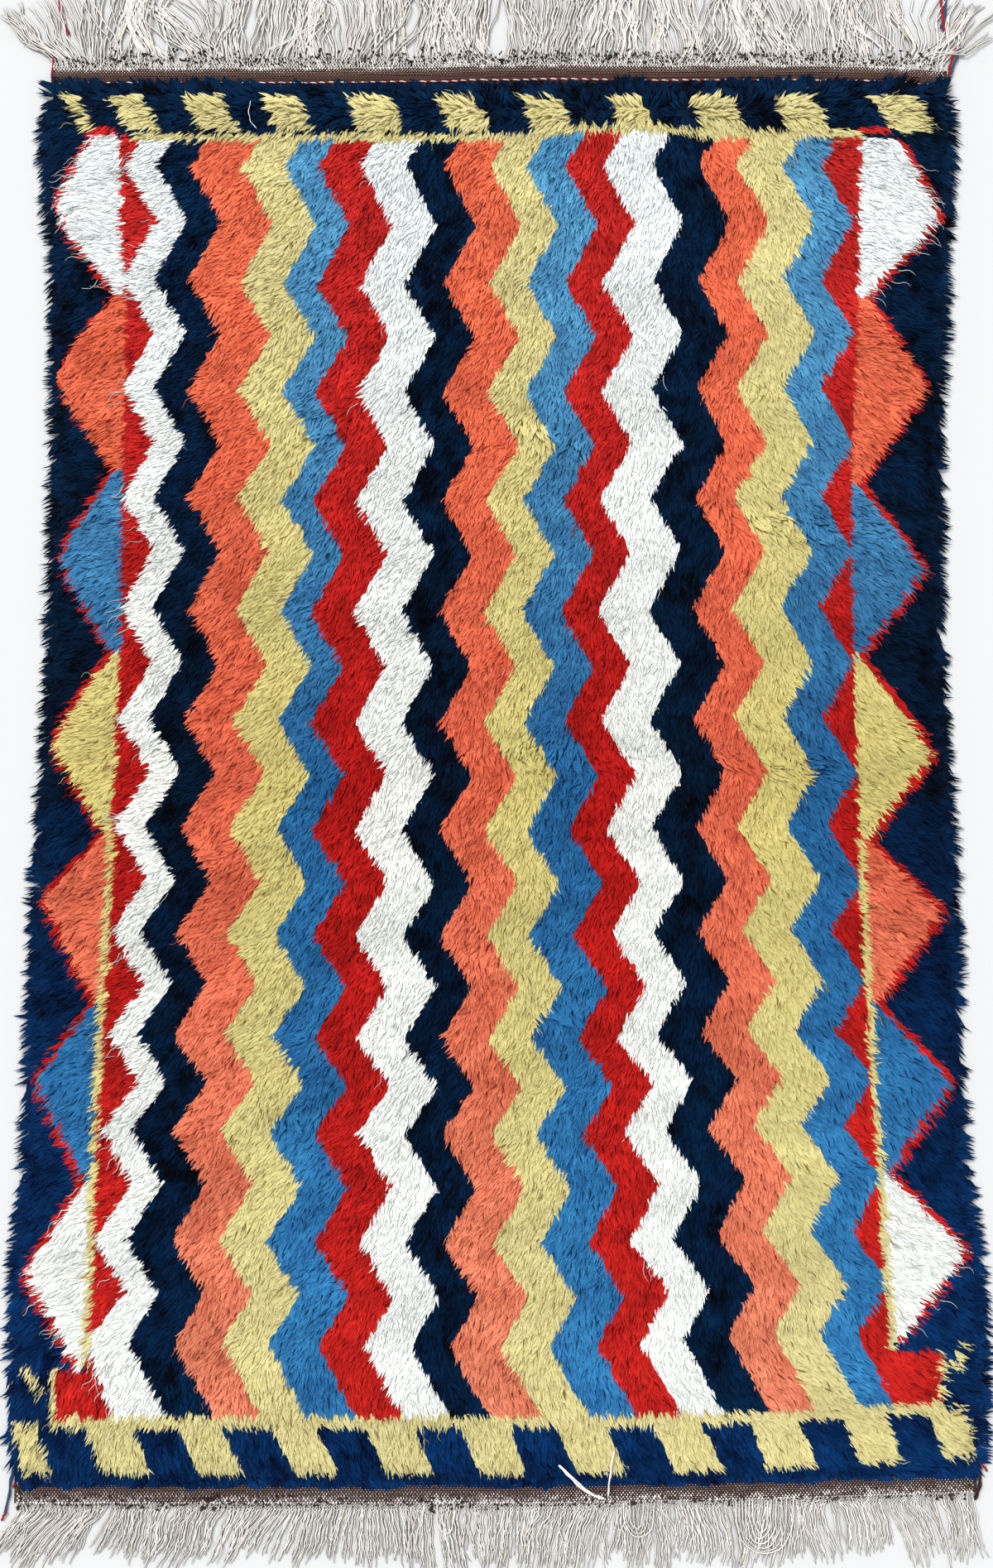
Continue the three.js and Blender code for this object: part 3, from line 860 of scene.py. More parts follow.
@dataclass
class GroundWeave:
    """The woven ground with the roots of its pile, as one closed cloth."""

    thin: float = 2.2
    share: float = 0.84
    inset: float = 3.0
    name: str = "ground_weave"

    def grid(self) -> Object:
        """Add a grid of knots and lay it to the rug's outline."""
        wide = round((RIGHTS.max() - LEFTS.min()) / KNOT_WIDE)
        long = round((HEAD_END - FOOT_END) / KNOT_ROW)
        bpy.ops.object.select_all(action="DESELECT")
        bpy.ops.mesh.primitive_grid_add(x_subdivisions=wide, y_subdivisions=long, size=1.0)
        piece = bpy.context.active_object
        piece.name = self.name
        piece.data.name = self.name
        u, v, _ = (read_points(piece) + 0.5).T
        nominal = FOOT_END + (HEAD_END - FOOT_END) * v
        left, right = left_edge(nominal) + self.inset, right_edge(nominal) - self.inset
        x = left + (right - left) * u
        y = foot_edge(x) + (head_edge(x) - foot_edge(x)) * v
        move_points(piece, np.stack([x, y, np.zeros(len(x))], axis=1) * MM)
        return piece

    def thicken(self, piece: Object) -> None:
        """Give the cloth its thickness, upwards from the floor, and raise its top under the pile."""
        solid = piece.modifiers.new("thickness", "SOLIDIFY")
        solid.thickness = self.thin * MM
        solid.offset = 1.0
        bpy.ops.object.modifier_apply(modifier=solid.name)
        points = read_points(piece) / MM
        x, y = points[:, 0], points[:, 1]
        knotted = inset_at(x, y) > 1
        loose = np.maximum(smooth((y - LOOSE_FROM) / 20), ruffled_at(x, y))
        felt = surface_at(x, y) * self.share * (1 - 0.3 * loose)
        raised = knotted & (points[:, 2] > self.thin / 2)
        points[:, 2] = np.where(raised, np.maximum(felt, self.thin), points[:, 2])
        move_points(piece, points * MM)

    def colour(self, piece: Object) -> None:
        """Give each knot the wool of the chart, with painted shade on the top side under the pile."""
        mesh = piece.data
        centres = np.empty(len(mesh.polygons) * 3)
        mesh.polygons.foreach_get("center", centres)
        centres = centres.reshape(-1, 3) / MM
        sizes = np.empty(len(mesh.polygons), np.int32)
        mesh.polygons.foreach_get("loop_total", sizes)
        under = centres[:, 2] < 0.5
        # Painted shade: the top side goes half-way to each wool's shade colour under the pile, and the
        # underside keeps the plain dye
        shade = np.where(under[:, None], self.dyes_with_shade(centres, 0.0), self.dyes_with_shade(centres, 0.5))
        flat = inset_at(centres[:, 0], centres[:, 1]) < -3
        shade[flat] = linear(FLAT_GROUND)
        shade[:, 3] = 1.0
        attribute = mesh.color_attributes.new(name="wool", type="FLOAT_COLOR", domain="CORNER")
        attribute.data.foreach_set("color", np.repeat(shade, sizes, axis=0).astype(np.float32).ravel())
        set_numbers(piece, "underside", read_points(piece)[:, 2] < 0.5 * MM)

    def dyes_with_shade(self, places: np.ndarray, depth: float) -> np.ndarray:
        """Return the wool's colour at each place, darkened by a share of painted shade where pile covers it.
        """
        wool = wool_at(places[:, 0], places[:, 1])
        colours = np.array([WOOLS[kind].along(places[:, 1], depth) for kind in Wool])
        return colours[wool, np.arange(len(wool))]

    def build(self) -> Object:
        """Build and dress the cloth."""
        piece = self.grid()
        self.thicken(piece)
        self.colour(piece)
        piece.data.shade_smooth()
        piece.data.materials.clear()
        piece.data.materials.append(knot_material())
        return add_piece(piece, "wool", "rug")


# How far the pile turns outwards from lying towards the foot, in degrees

LEANS = Curve(
    (-570, -72), (-450, -60), (-350, -44), (-230, -33), (-100, -22), (0, -19),
    (110, -11), (220, -1), (300, 9), (380, 30), (450, 54), (570, 72),
)

# How far up the head's flat weave the pile lies

OVERLAPS = Curve(
    (-566, 889), (-546, 884), (-525, 880), (-474, 880), (-438, 884), (-402, 880), (-366, 891), (-335, 891),
    (-299, 888), (-283, 874), (-250, 874), (-243, 885), (-236, 874), (-202, 874), (-194, 886), (-186, 874),
    (-106, 874), (-98, 885), (-90, 874), (0, 874), (143, 874), (152, 889), (177, 889), (186, 877),
    (278, 877), (299, 884), (394, 886), (407, 896), (419, 885), (466, 886), (489, 902), (505, 893),
    (525, 890), (572, 888),
)



@dataclass
class Locks:
    """Many locks of wool, or floats of warp, in one mesh, each a slim closed wedge.

    ends holds each one's root and tip, sides its two widest points, facing the way that the surface
    faces there, and own its own number for the shader.
    """

    name: str
    ends: np.ndarray
    sides: np.ndarray
    facing: np.ndarray
    own: np.ndarray
    belly: float
    rounding: float = 0.2
    slot: str = "wool"

    CORNERS = ((0, 1, 3), (1, 0, 2), (0, 3, 2), (1, 2, 3))
    UNFOLDED = (
        ((0.0, 0.0), (0.5, 0.0), (0.25, 1.0)), ((0.5, 0.0), (1.0, 0.0), (0.75, 1.0)),
        ((1.0, 0.0), (1.25, 1.0), (0.75, 1.0)), ((0.5, 0.0), (0.75, 1.0), (0.25, 1.0)),
    )

    def build(self, finish: Material) -> Object:
        """Join the locks in one mesh with its maps."""
        count = len(self.ends)
        corners = np.array(self.CORNERS)
        points = np.concatenate([self.sides, self.ends], axis=1)
        faces = (np.arange(count)[:, None, None] * 4 + corners).reshape(-1, 3)
        piece = mesh_piece(self.name, points.reshape(-1, 3), [faces], finish)
        set_numbers(piece, "lock", np.repeat(self.own, 4))
        piece.data.normals_split_custom_set(self.normals(corners))
        own = np.array([(0.0, self.belly), (1.0, self.belly), (0.5, 0.0), (0.5, 1.0)])[corners]
        set_map(piece, "strand", np.broadcast_to(own, (count, 4, 3, 2)))
        corner, size = cells(count, 1.0)
        flat = (np.array(self.UNFOLDED) * (0.72, 0.9) + (0.05, 0.05)) * size
        set_map(piece, "OFBake", corner[:, None, None] + flat[None])
        return add_piece(piece, self.slot)

    def normals(self, corners: np.ndarray) -> np.ndarray:
        """Return a normal for each face corner: soft and rounded above, the mesh's own below."""
        across = self.sides[:, 0] - self.sides[:, 1]
        across = across / np.linalg.norm(across, axis=1, keepdims=True) * self.rounding
        soft = np.stack([self.facing + across, self.facing - across, self.facing, self.facing], axis=1)
        soft /= np.linalg.norm(soft, axis=2, keepdims=True)
        each = soft[:, corners]
        each[:, 2:] = 0.0
        return each.reshape(-1, 3)


class Layer(NamedTuple):
    """A layer of the pile: how its locks are spaced, sized and lifted, and whether some are painted dark as
    the shadows in the gaps between tufts.
    """

    name: str
    spacing: float
    length: float
    width: float
    belly_height: float
    tip_height: float
    scatter: float
    gather: float
    light: float
    shaded: bool


LAYERS = table(
    Layer, ("body", 3.9, 18.0, 3.6, 0.91, 0.99, 0.22, 0.22, 0.46, False),
    ("hair", 8.6, 14.0, 1.0, 0.98, 1.05, 0.3, 0.1, 0.55, True),
)


@dataclass
class Pile:
    """Long wool pile: locks of wool that lie over each other like thatch."""

    tuft: float = 8.0
    overhang: float = 20.0
    belly: float = 0.42
    seen: float = 0.64
    seed: int = 41

    def roots(self, rng: np.random.Generator, spacing: float) -> tuple[np.ndarray, np.ndarray]:
        """Scatter the roots of one layer over the knotted part, so far apart, and return their places."""
        down = spacing * 0.9
        columns = int(1200 / spacing)
        rows = int((HEAD_END - FOOT_END) / down)
        i, j = np.meshgrid(np.arange(columns), np.arange(rows))
        x = -600 + (i + 0.5 * (j % 2) + rng.uniform(-0.42, 0.42, i.shape)) * spacing
        y = FOOT_END + (j + rng.uniform(-0.42, 0.42, i.shape)) * down
        x, y = x.ravel(), y.ravel()
        from_side = np.minimum(x - left_edge(y), right_edge(y) - x)
        from_foot = y - foot_edge(x) - FLAT_WEAVE + 3
        kept = (from_side > 6) & (from_foot > 0) & (y < head_edge(x) - FLAT_WEAVE + 1)
        edge_x = rng.uniform(-550, 555, int(2600 / spacing))
        edge_y = head_edge(edge_x) - FLAT_WEAVE - rng.uniform(0, 9, len(edge_x))
        return np.concatenate([x[kept], edge_x]), np.concatenate([y[kept], edge_y])

    def tufts(self, x: np.ndarray, y: np.ndarray) -> tuple[np.ndarray, np.ndarray, np.ndarray]:
        """Share the roots out among tufts, and return each root's tuft and each tuft's middle."""
        drift = Drift(self.seed + 5)
        u = x + 3 * drift.at(x, y, 11.0)
        v = y + 3 * drift.at(x + 300, y, 11.0)
        row = np.floor(v / self.tuft).astype(int)
        column = np.floor(u / self.tuft + 0.5 * (row % 2)).astype(int)
        number = (row - row.min()) * 4096 + (column - column.min())
        _, number = np.unique(number, return_inverse=True)
        share = np.bincount(number)
        return number, np.bincount(number, x) / share, np.bincount(number, y) / share

    def headings(self, x: np.ndarray, y: np.ndarray) -> np.ndarray:
        """Return which way the pile lies, as an angle from the foot towards +X."""
        sway, eddy = Drift(self.seed + 1), Drift(self.seed + 2)
        base = LEANS(x)
        base = base * np.interp(y, (-800, -700, -300, 300, 650), (0.5, 0.85, 0.9, 1.0, 1.1))
        base = base + 24 * smooth((-y - 640) / 70)
        base = base + 13 * sway.at(x, y, 62) + 19 * eddy.at(x, y, 21) + 6 * eddy.at(x + 900, y, 9)
        base = base + ruffled_at(x, y) * (25 + 50 * eddy.at(x, y + 700, 15))
        band = smooth((y - LOOSE_FROM) / 50)
        loose = np.interp(x, (-560, -300, 0, 300, 430, 560), (-105, -100, -150, -185, -230, -280))
        top = smooth((y - 852) / 16)
        loose = loose * (1 - top) + np.interp(x, (-560, 480, 560), (-140, -210, -240)) * top
        loose = loose + 45 * sway.at(x - 700, y, 24) + 25 * eddy.at(x, y - 900, 9)
        lean, free = np.radians(base), np.radians(loose)
        return np.arctan2(np.sin(lean) * (1 - band) + np.sin(free) * band,
                          np.cos(lean) * (1 - band) + np.cos(free) * band)

    def reach(self, x: np.ndarray, y: np.ndarray, away: np.ndarray, length: np.ndarray,
              rng: np.random.Generator) -> np.ndarray:
        """Return the locks' lengths, cut short where a lock would lie too far over an edge."""
        scallop = Drift(self.seed + 3)
        own = rng.normal(0, 1.4, x.shape)
        side = self.overhang + 1.8 * scallop.at(x, y, 23) + own
        room_left = (x - left_edge(y) + side) / np.maximum(-away[:, 0], 1e-3)
        room_right = (right_edge(y) - x + side) / np.maximum(away[:, 0], 1e-3)
        foot = 4.5 * scallop.at(x, y * 0, 15) + 4 * scallop.at(x, y * 0 + 80, 7) + 3 + own
        room_foot = (y - foot_edge(x) - FLAT_WEAVE + 4 + foot) / np.maximum(-away[:, 1], 1e-3)
        head = OVERLAPS(x) + 2 + own
        head = head + 2.5 * scallop.at(x, y * 0 + 90, 8)
        room_head = (head - y) / np.maximum(away[:, 1], 1e-3)
        room = np.minimum(np.minimum(room_left, room_right), np.minimum(room_foot, room_head))
        return np.clip(np.minimum(length, room), 6.0, None)

    def facing(self, x: np.ndarray, y: np.ndarray) -> np.ndarray:
        """Return the way that the pile's surface faces."""
        step = 3.0
        slope_x = (surface_at(x + step, y) - surface_at(x - step, y)) / (2 * step)
        slope_y = (surface_at(x, y + step) - surface_at(x, y - step)) / (2 * step)
        return np.stack([-slope_x, -slope_y, np.ones(x.shape)], axis=1)

    def build(self, finishes: dict[Wool, Material]) -> list[Object]:
        """Build the pile, layer by layer and wool by wool."""
        pieces = []
        for number, layer in enumerate(LAYERS):
            pieces += self.lay(layer, np.random.default_rng(self.seed + 100 * number), finishes)
        return pieces

    def lay(self, layer: Layer, rng: np.random.Generator, finishes: dict[Wool, Material]) -> list[Object]:
        """Build one layer, one piece for each wool."""
        x, y = self.roots(rng, layer.spacing)
        count = len(x)
        tuft, tuft_x, tuft_y = self.tufts(x, y)
        tufts = len(tuft_x)
        heading = self.headings((x + tuft_x[tuft]) / 2, (y + tuft_y[tuft]) / 2)
        heading = heading + rng.normal(0, 0.1, tufts)[tuft] + rng.normal(0, 0.07, count)
        away = np.stack([np.sin(heading), -np.cos(heading)], axis=1)
        level = np.stack([-away[:, 1], away[:, 0]], axis=1)
        loose = np.maximum(smooth((y - LOOSE_FROM) / 40), ruffled_at(x, y))
        length = layer.length * (1 + 0.5 * smooth((np.abs(x) - 420) / 130))
        length = length * (1 + rng.normal(0, 0.08, tufts)[tuft] + rng.normal(0, 0.1, count))
        length = self.reach(x, y, away, length, rng)[:, None]
        root = np.stack([x, y], axis=1)
        belly = root + away * length * self.belly
        curl = stray(rng, tuft, 0.1, 0.07)
        tip = root + (away + level * curl[:, None]) * length
        share = np.bincount(tuft)
        centre = np.stack([(np.bincount(tuft, tip[:, axis]) / share)[tuft] for axis in (0, 1)], axis=1)
        tip += (layer.gather + 0.35 * loose[:, None]) * (centre - tip)
        lift = rng.normal(0, layer.scatter, tufts)[tuft]
        rise = loose * rng.uniform(-2.2, 2.6, tufts)[tuft]
        scatter = layer.scatter
        belly_z = surface_at(*belly.T) * layer.belly_height + lift + rise + rng.normal(0, scatter, count)
        tip_z = surface_at(*tip.T) * layer.tip_height + lift + rise + rng.normal(0, scatter, count)
        tip_z -= 2.2 * np.clip(-inset_at(*tip.T) / 10, 0, 1)
        tip_z = np.maximum(tip_z, 0.7)
        over_row = smooth((tip[:, 1] - head_edge(tip[:, 0]) + 24) / 5)
        tip_z = np.maximum(tip_z, (8.4 - 0.12 * (tip[:, 1] - 880) + rng.normal(0, 0.6, count)) * over_row)
        root_z = np.maximum(height_at(x, y) * 0.7, 2.0)
        belly_z = np.maximum(belly_z, root_z + self.belly * (tip_z - root_z) + 0.9)
        # The chart is read where the lock shows, so that the seams fall where they should
        seen = root * 0.8 + np.stack([tuft_x[tuft], tuft_y[tuft]], axis=1) * 0.2 + self.seen * length * away
        wool = wool_at(*seen.T)
        wide = layer.width * rng.uniform(0.7, 1.3, count) * np.clip(length[:, 0] / layer.length, 0.6, 1.0)
        half = level * wide[:, None] / 2
        right, left = np.column_stack([belly + half, belly_z]), np.column_stack([belly - half, belly_z])
        sides = np.stack([right, left], axis=1)
        ends = np.stack([np.column_stack([root, root_z]), np.column_stack([tip, tip_z])], axis=1)
        facing = self.facing(*tip.T)
        facing[:, :2] += rng.normal(0, 0.03, (tufts, 2))[tuft] + rng.normal(0, 0.03, (count, 2))
        # Each lock's own tone: random per tuft, per lock and in slow patches; partly uneven dye, partly
        # painted sheen on tuft tops and painted shade between them
        tone = Drift(self.seed + 4)
        own = 0.26 * rng.normal(0, 1, tufts)[tuft] + 0.08 * rng.normal(0, 1, count)
        own += 0.5 * tone.at(x, y, 26) + 0.45 * tone.at(x + 900, y, 13)
        relief = np.array([finish.relief for finish in WOOLS])[wool]
        # Painted light: tufts raised where the pile is ruffled are a little lighter
        own = np.clip(layer.light + relief * own + 0.06 * rise, -0.7, 1.4)
        # Painted shade: a share of the hair locks are set to -1.8 and drawn dark, standing for the shadows in
        # the gaps between tufts
        shadow_cracks = np.array([finish.shadow_cracks for finish in WOOLS])[wool] * layer.shaded
        own = np.where(rng.uniform(0, 1, count) < shadow_cracks, -1.8, own)
        pieces = []
        for kind in Wool:
            mine = wool == kind
            name = f"pile_{layer.name}_{kind.name.lower()}"
            locks = Locks(name, ends[mine], sides[mine], facing[mine], own[mine], self.belly)
            pieces.append(locks.build(finishes[kind]))
        return pieces


class Wisp(NamedTuple):
    """Thin locks of one wool over their neighbours: how many, how long, and how many keep to a border."""

    wool: Wool
    count: int
    length: float
    border: float


WISPS = table(
    Wisp, (Wool.WHITE, 240, 26, 0.7), (Wool.YELLOW, 110, 20, 0.3), (Wool.CORAL, 80, 19, 0.3),
    (Wool.NAVY, 70, 18, 0.3), (Wool.RED, 40, 17, 0.3), (Wool.BLUE, 40, 17, 0.3),
)


@dataclass
class Wisps:
    """Thin curly locks that stray over the seams between the wools."""

    pile: Pile
    radius: float = 0.5
    steps: int = 7
    seed: int = 71

    def roots(self, row: Wisp, rng: np.random.Generator) -> tuple[np.ndarray, np.ndarray]:
        """Choose roots in one wool, most of them where it ends a little farther on."""
        x, y = rng.uniform(-545, 545, 60000), rng.uniform(-800, 862, 60000)
        heading = self.pile.headings(x, y)
        mine = wool_at(x, y) == row.wool
        seam = mine & (wool_at(x + 13 * np.sin(heading), y - 13 * np.cos(heading)) != row.wool)
        outer = np.abs(x) > 440
        share = np.where(seam, 1.0, 0.22) * np.where(outer, row.border, 1 - row.border) * mine
        share = share * np.where(outer & mine, mine.sum() / max((outer & mine).sum(), 1), 1.0)
        picked = rng.choice(len(x), row.count, replace=False, p=share / share.sum())
        return x[picked], y[picked]

    def lay(self, row: Wisp, finish: Material) -> Object:
        """Lay one wool's wisps."""
        rng = np.random.default_rng(self.seed + row.wool)
        x, y = self.roots(row, rng)
        each = (row.count, 1)
        step = np.linspace(0, 1, self.steps)
        start = rng.uniform(0, 2 * math.pi, each)
        sway = rng.uniform(0.3, 0.8, each) * np.sin(2 * math.pi * step * rng.uniform(0.7, 1.3, each) + start)
        turned = self.pile.headings(x, y)[:, None] + sway
        length = row.length * rng.uniform(0.6, 1.25, each) / (self.steps - 1)
        across = x[:, None] + np.cumsum(np.sin(turned) * length, axis=1)
        along = y[:, None] - np.cumsum(np.cos(turned) * length, axis=1)
        up = surface_at(across, along) * (0.72 + 0.3 * smooth(step / 0.3))
        up = up + 0.9 * np.sin(math.pi * step)
        radii = self.radius * rng.uniform(0.75, 1.2, each) * (1 - 0.45 * step ** 2)
        paths = np.stack([across, along, up], axis=2)
        return Tubes(f"wisps_{row.wool.name.lower()}", paths, radii, seed=self.seed).build(finish, "wool")

    def build(self, finishes: dict[Wool, Material]) -> list[Object]:
        """Build each wool's wisps."""
        return [self.lay(row, finishes[row.wool]) for row in WISPS]


@dataclass(frozen=True)
class WeaveEnd:
    """The grid of warps and wefts at one end of the weave, which its band and its fringe share."""

    at_head: bool
    rows: int
    weft_pitch: float
    longer: float
    warp_pitch: float = 1.9

    def warps(self) -> np.ndarray:
        """Return each warp's place across the rug."""
        place = np.array(HEAD_END if self.at_head else FOOT_END)
        left, right = float(left_edge(place)), float(right_edge(place))
        return np.arange(left + 1, right, self.warp_pitch)

    def beyond(self, x: np.ndarray, out: np.ndarray) -> np.ndarray:
        """Return the places along the rug that lie a distance out from the last weft."""
        reach = self.longer + out
        return head_edge(x) + reach if self.at_head else foot_edge(x) - reach


@dataclass
class FlatWeave:
    """A short flat-woven end: rows of weft, with the warps' floats over them, largest at the edge."""

    name: str
    end: WeaveEnd
    finish: YarnFinish
    floats: tuple[float, ...]
    radius: float
    top: float = 4.3
    seed: int = 3

    def build(self, effects: Effects) -> list[Object]:
        """Build the weft rows and the floats."""
        warps = self.end.warps()
        x = np.linspace(warps[0] - 4, warps[-1] + 5, 90)
        drift = Drift(self.seed)
        up = np.full(len(x), self.top - self.radius)
        rows = []
        for row in range(self.end.rows):
            inwards = self.end.weft_pitch * (row + 0.4) + 0.5 * drift.at(x, x * 0 + row * 40.0, 26)
            rows.append(np.stack([x, self.end.beyond(x, -inwards), up], axis=1))
        paths = np.stack(rows)
        wefts = Tubes(self.name, paths, np.full(paths.shape[:2], self.radius), 4, seed=self.seed)
        return [wefts.build(self.finish.build(effects), "wool"), self.lay_floats(effects)]

    def lay_floats(self, effects: Effects) -> Object:
        """Build the warps' floats, over every second weft and in step with their neighbours."""
        rng = np.random.default_rng(self.seed)
        warps = self.end.warps()
        number = np.arange(len(warps))
        x, row, size = [], [], []
        for place, share in enumerate(self.floats):
            shown = warps[(number + place) % 2 == 0]
            x.append(shown)
            row.append(np.full(len(shown), place + 0.4))
            patch = 1 + 0.7 * Drift(self.seed + 1).at(shown, shown * 0 + place * 9.0, 17)
            size.append(share * rng.uniform(0.5, 1.5, len(shown)) * patch)
        x, row, size = np.concatenate(x), np.concatenate(row), np.clip(np.concatenate(size), 0.02, 1.2)
        x = x + rng.normal(0, 0.2, len(x))
        y = self.end.beyond(x, -self.end.weft_pitch * row)
        half_long, half_wide = 0.35 + 1.5 * size, 0.25 + 1.1 * size
        low, high = x * 0 + self.top - 0.4, self.top + 0.2 + 0.7 * size
        ends = np.stack([np.stack([x, y - half_long, low], 1), np.stack([x, y + half_long, low], 1)], 1)
        sides = np.stack([np.stack([x - half_wide, y, high], 1), np.stack([x + half_wide, y, high], 1)], 1)
        facing = np.tile((0.0, 0.0, 1.0), (len(x), 1))
        own = rng.uniform(0.2, 0.9, len(x))
        floats = Locks(f"{self.name}_floats", ends, sides, facing, own, 0.5, slot="warp")
        piece = floats.build(WARP_YARN.build(effects))
        # No painted shade on the floats' lower sides
        set_numbers(piece, "over", np.ones(len(piece.data.vertices)))
        return piece


@dataclass
class Twining:
    """The row of red and white yarns twined round each other beside the head band."""

    inwards: float = 14.6
    turn: float = 12.6
    swing: float = 0.9
    radius: float = 1.25

    def build(self, effects: Effects) -> list[Object]:
        """Build the two yarns."""
        x = np.arange(-552, 560, self.turn / 6)
        loose = 1.3 * Drift(9).at(x, x * 0, 30)
        pieces = []
        for name, start, finish in (("twined_red", 0.0, RED_YARN), ("twined_white", math.pi, WHITE_YARN)):
            angle = 2 * math.pi * x / self.turn + start + loose
            y = head_edge(x) - self.inwards + self.swing * np.cos(angle) * 0.3 + 0.4 * loose
            path = np.stack([x, y, 4.6 + self.swing * np.sin(angle)], 1)[None]
            radii = np.full(path.shape[:2], self.radius)
            pieces.append(Tubes(name, path, radii, seed=9).build(finish.build(effects)))
        return pieces


# How large the warps' floats show, row by row, from the edge inwards

HEAD_FLOATS = (0.6, 0.34, 0.16, 0.07, 0.03)
FOOT_FLOATS = (0.64, 0.58, 0.48, 0.36, 0.26, 0.18, 0.12, 0.08, 0.05)


# Which way the fringes lie, in degrees towards +X from straight out

HEAD_SWEEPS = Curve(
    (-553, -50), (-532, -44), (-518, -24), (-500, -4), (-480, 12), (-440, -14), (-415, -6), (-385, -36),
    (-355, -34), (-335, 2), (-285, 5), (-262, 22), (-235, 12), (-212, -18), (-180, 6), (-60, 8), (20, -6),
    (70, 10), (120, 12), (170, 0), (290, 4), (330, -12), (372, -28), (392, -4), (480, -8), (515, 2),
    (522, 36), (559, 40),
)
FOOT_SWEEPS = Curve(
    (-566, -28), (-540, -34), (-470, -30), (-430, -14), (-405, -10), (-380, -26), (-330, -16), (-270, -28),
    (-230, -12), (-180, -8), (-120, 6), (-20, 4), (40, -6), (120, -10), (190, 2), (260, 8), (310, -8),
    (370, 8), (440, 16), (500, 18), (540, 4), (562, 12),
)


@dataclass
class Fringe:
    """The warp ends beyond one end of the rug, in loose gatherings on the floor."""

    name: str
    node: str
    end: WeaveEnd
    length: float
    sweeps: Curve
    trim: float
    radius: float
    pull: float
    bend: float
    strays: int
    lean: float = 4.5
    crimped: float = 18.0
    gathering: float = 15.0
    wave: float = 1.1
    crimp: float = 0.6
    seed: int = 5

    def build(self, effects: Effects) -> Object:
        """Build the yarns."""
        rng = np.random.default_rng(self.seed)
        x = self.end.warps()
        count = len(x)
        group = np.cumsum(rng.uniform(0, 1, count) < 1 / self.gathering)
        flat = self.paths(x, np.arange(count), group, 1.0, 0.0, rng)
        picked = np.sort(rng.choice(count, self.strays, replace=False))
        loose = self.paths(x[picked], picked, np.arange(self.strays) // 4, 1.9, 1.5, rng)
        paths = np.concatenate([flat, loose])
        radii = np.full(paths.shape[:2], self.radius) * rng.uniform(0.86, 1.1, len(paths))[:, None]
        radii *= 0.62 + 0.38 * smooth(self.share() * self.length / self.crimped - 0.3)
        radii[:, -2:] *= (0.85, 0.4)
        yarns = Tubes(self.name, paths, radii, seed=self.seed)
        return yarns.build(FRINGE_YARN.build(effects), "warp", self.node)

    def share(self) -> np.ndarray:
        """Return how far along a yarn each of its points lies, closest together at the root."""
        return np.concatenate([np.linspace(0, 0.16, 7), np.linspace(0.16, 1, 10)[1:]])

    def paths(self, x: np.ndarray, number: np.ndarray, group: np.ndarray, wild: float, lift: float,
              rng: np.random.Generator) -> np.ndarray:
        """Lay yarns from the last weft out to their free ends, and return their points.

        x is where they leave the weave, number each one's number in the weave, group its gathering,
        wild how much they stray and lift how far they lie above the lowest yarns.
        """
        count, groups = len(x), group.max() + 1
        middle = (np.bincount(group, x) / np.maximum(np.bincount(group), 1))[group]
        share = self.share()
        full = 0.5 * rng.uniform(0, 1, groups)[group] + 0.5 * rng.uniform(0, 1, count)
        reach = self.length * (1.02 - self.trim * (1 - full ** 1.6))[:, None]
        lean = self.sweeps(x) + rng.normal(0, self.lean * wild, groups)[group]
        lean = lean + rng.normal(0, 1.7 * wild, count)
        turned = np.radians(lean)[:, None] * smooth((share - 0.04) / 0.4)
        bend = stray(rng, group, self.bend * wild, 0.2 * self.bend * wild)
        snake = stray(rng, group, 0.6 * self.bend * wild, 0.16 * self.bend * wild)
        start = rng.uniform(0, 2 * math.pi, groups)[group] + rng.normal(0, 0.5, count)
        pulled = (middle - x) * np.clip(rng.normal(self.pull, 0.14, groups), 0.04, 0.62)[group]
        side = x[:, None] + pulled[:, None] * smooth(share * 3.5) + reach * share * np.sin(turned)
        side = side + bend[:, None] * np.sin(math.pi * share) + snake[:, None] * np.sin(2 * math.pi * share)
        side = side + self.wave * np.sin(share * 23 + start[:, None]) * smooth(share * 4)
        turn = np.where((np.arange(len(share)) + number[:, None]) % 2 == 0, 1.0, -1.0)
        side = side + self.crimp * turn * smooth((0.24 - share) / 0.1)
        along = self.end.beyond(x[:, None], reach * share * np.cos(turned) - 0.8)
        layer = rng.integers(0, 3, count)[:, None] * 0.95 + lift
        low = self.radius + 0.05 + layer * smooth(share * 5) * (1 - 0.7 * smooth((share - 0.75) / 0.25))
        up = np.maximum(low, 3.9 * (1 - smooth(share * 5)) + 0.3 * turn * smooth((0.2 - share) / 0.1))
        return np.stack([side, along, up], axis=2)


@dataclass
class WeftAndShadeUnderlay:
    """The last brown wefts under the crimped warps beyond the weave's end: partly leftover weft, partly a
    dark underlay that stands in for the shade between the warps.
    """

    name: str
    end: WeaveEnd
    kept: tuple[float, ...]
    row_pitch: float
    run: float = 30.0
    radius: float = 1.1
    seed: int = 31

    def build(self, effects: Effects) -> Object:
        """Build the stretches of dark weft and painted shade, row by row."""
        rng = np.random.default_rng(self.seed)
        warps = self.end.warps()
        starts = np.arange(warps[0] - 2, warps[-1] - self.run + 3, self.run)
        paths = []
        for row, share in enumerate(self.kept):
            first = starts[rng.uniform(0, 1, len(starts)) < share]
            x = first[:, None] + np.linspace(0, self.run, 5)
            y = self.end.beyond(x, 1.0 + self.row_pitch * row + rng.normal(0, 0.4, x.shape))
            z = self.radius + 0.05 + 1.5 * (1 - smooth(np.full(x.shape, row / 4)))
            paths.append(np.stack([x, y, z], axis=2))
        path = np.concatenate(paths)
        wefts = Tubes(self.name, path, np.full(path.shape[:2], self.radius), seed=self.seed)
        return wefts.build(DARK_YARN.build(effects))


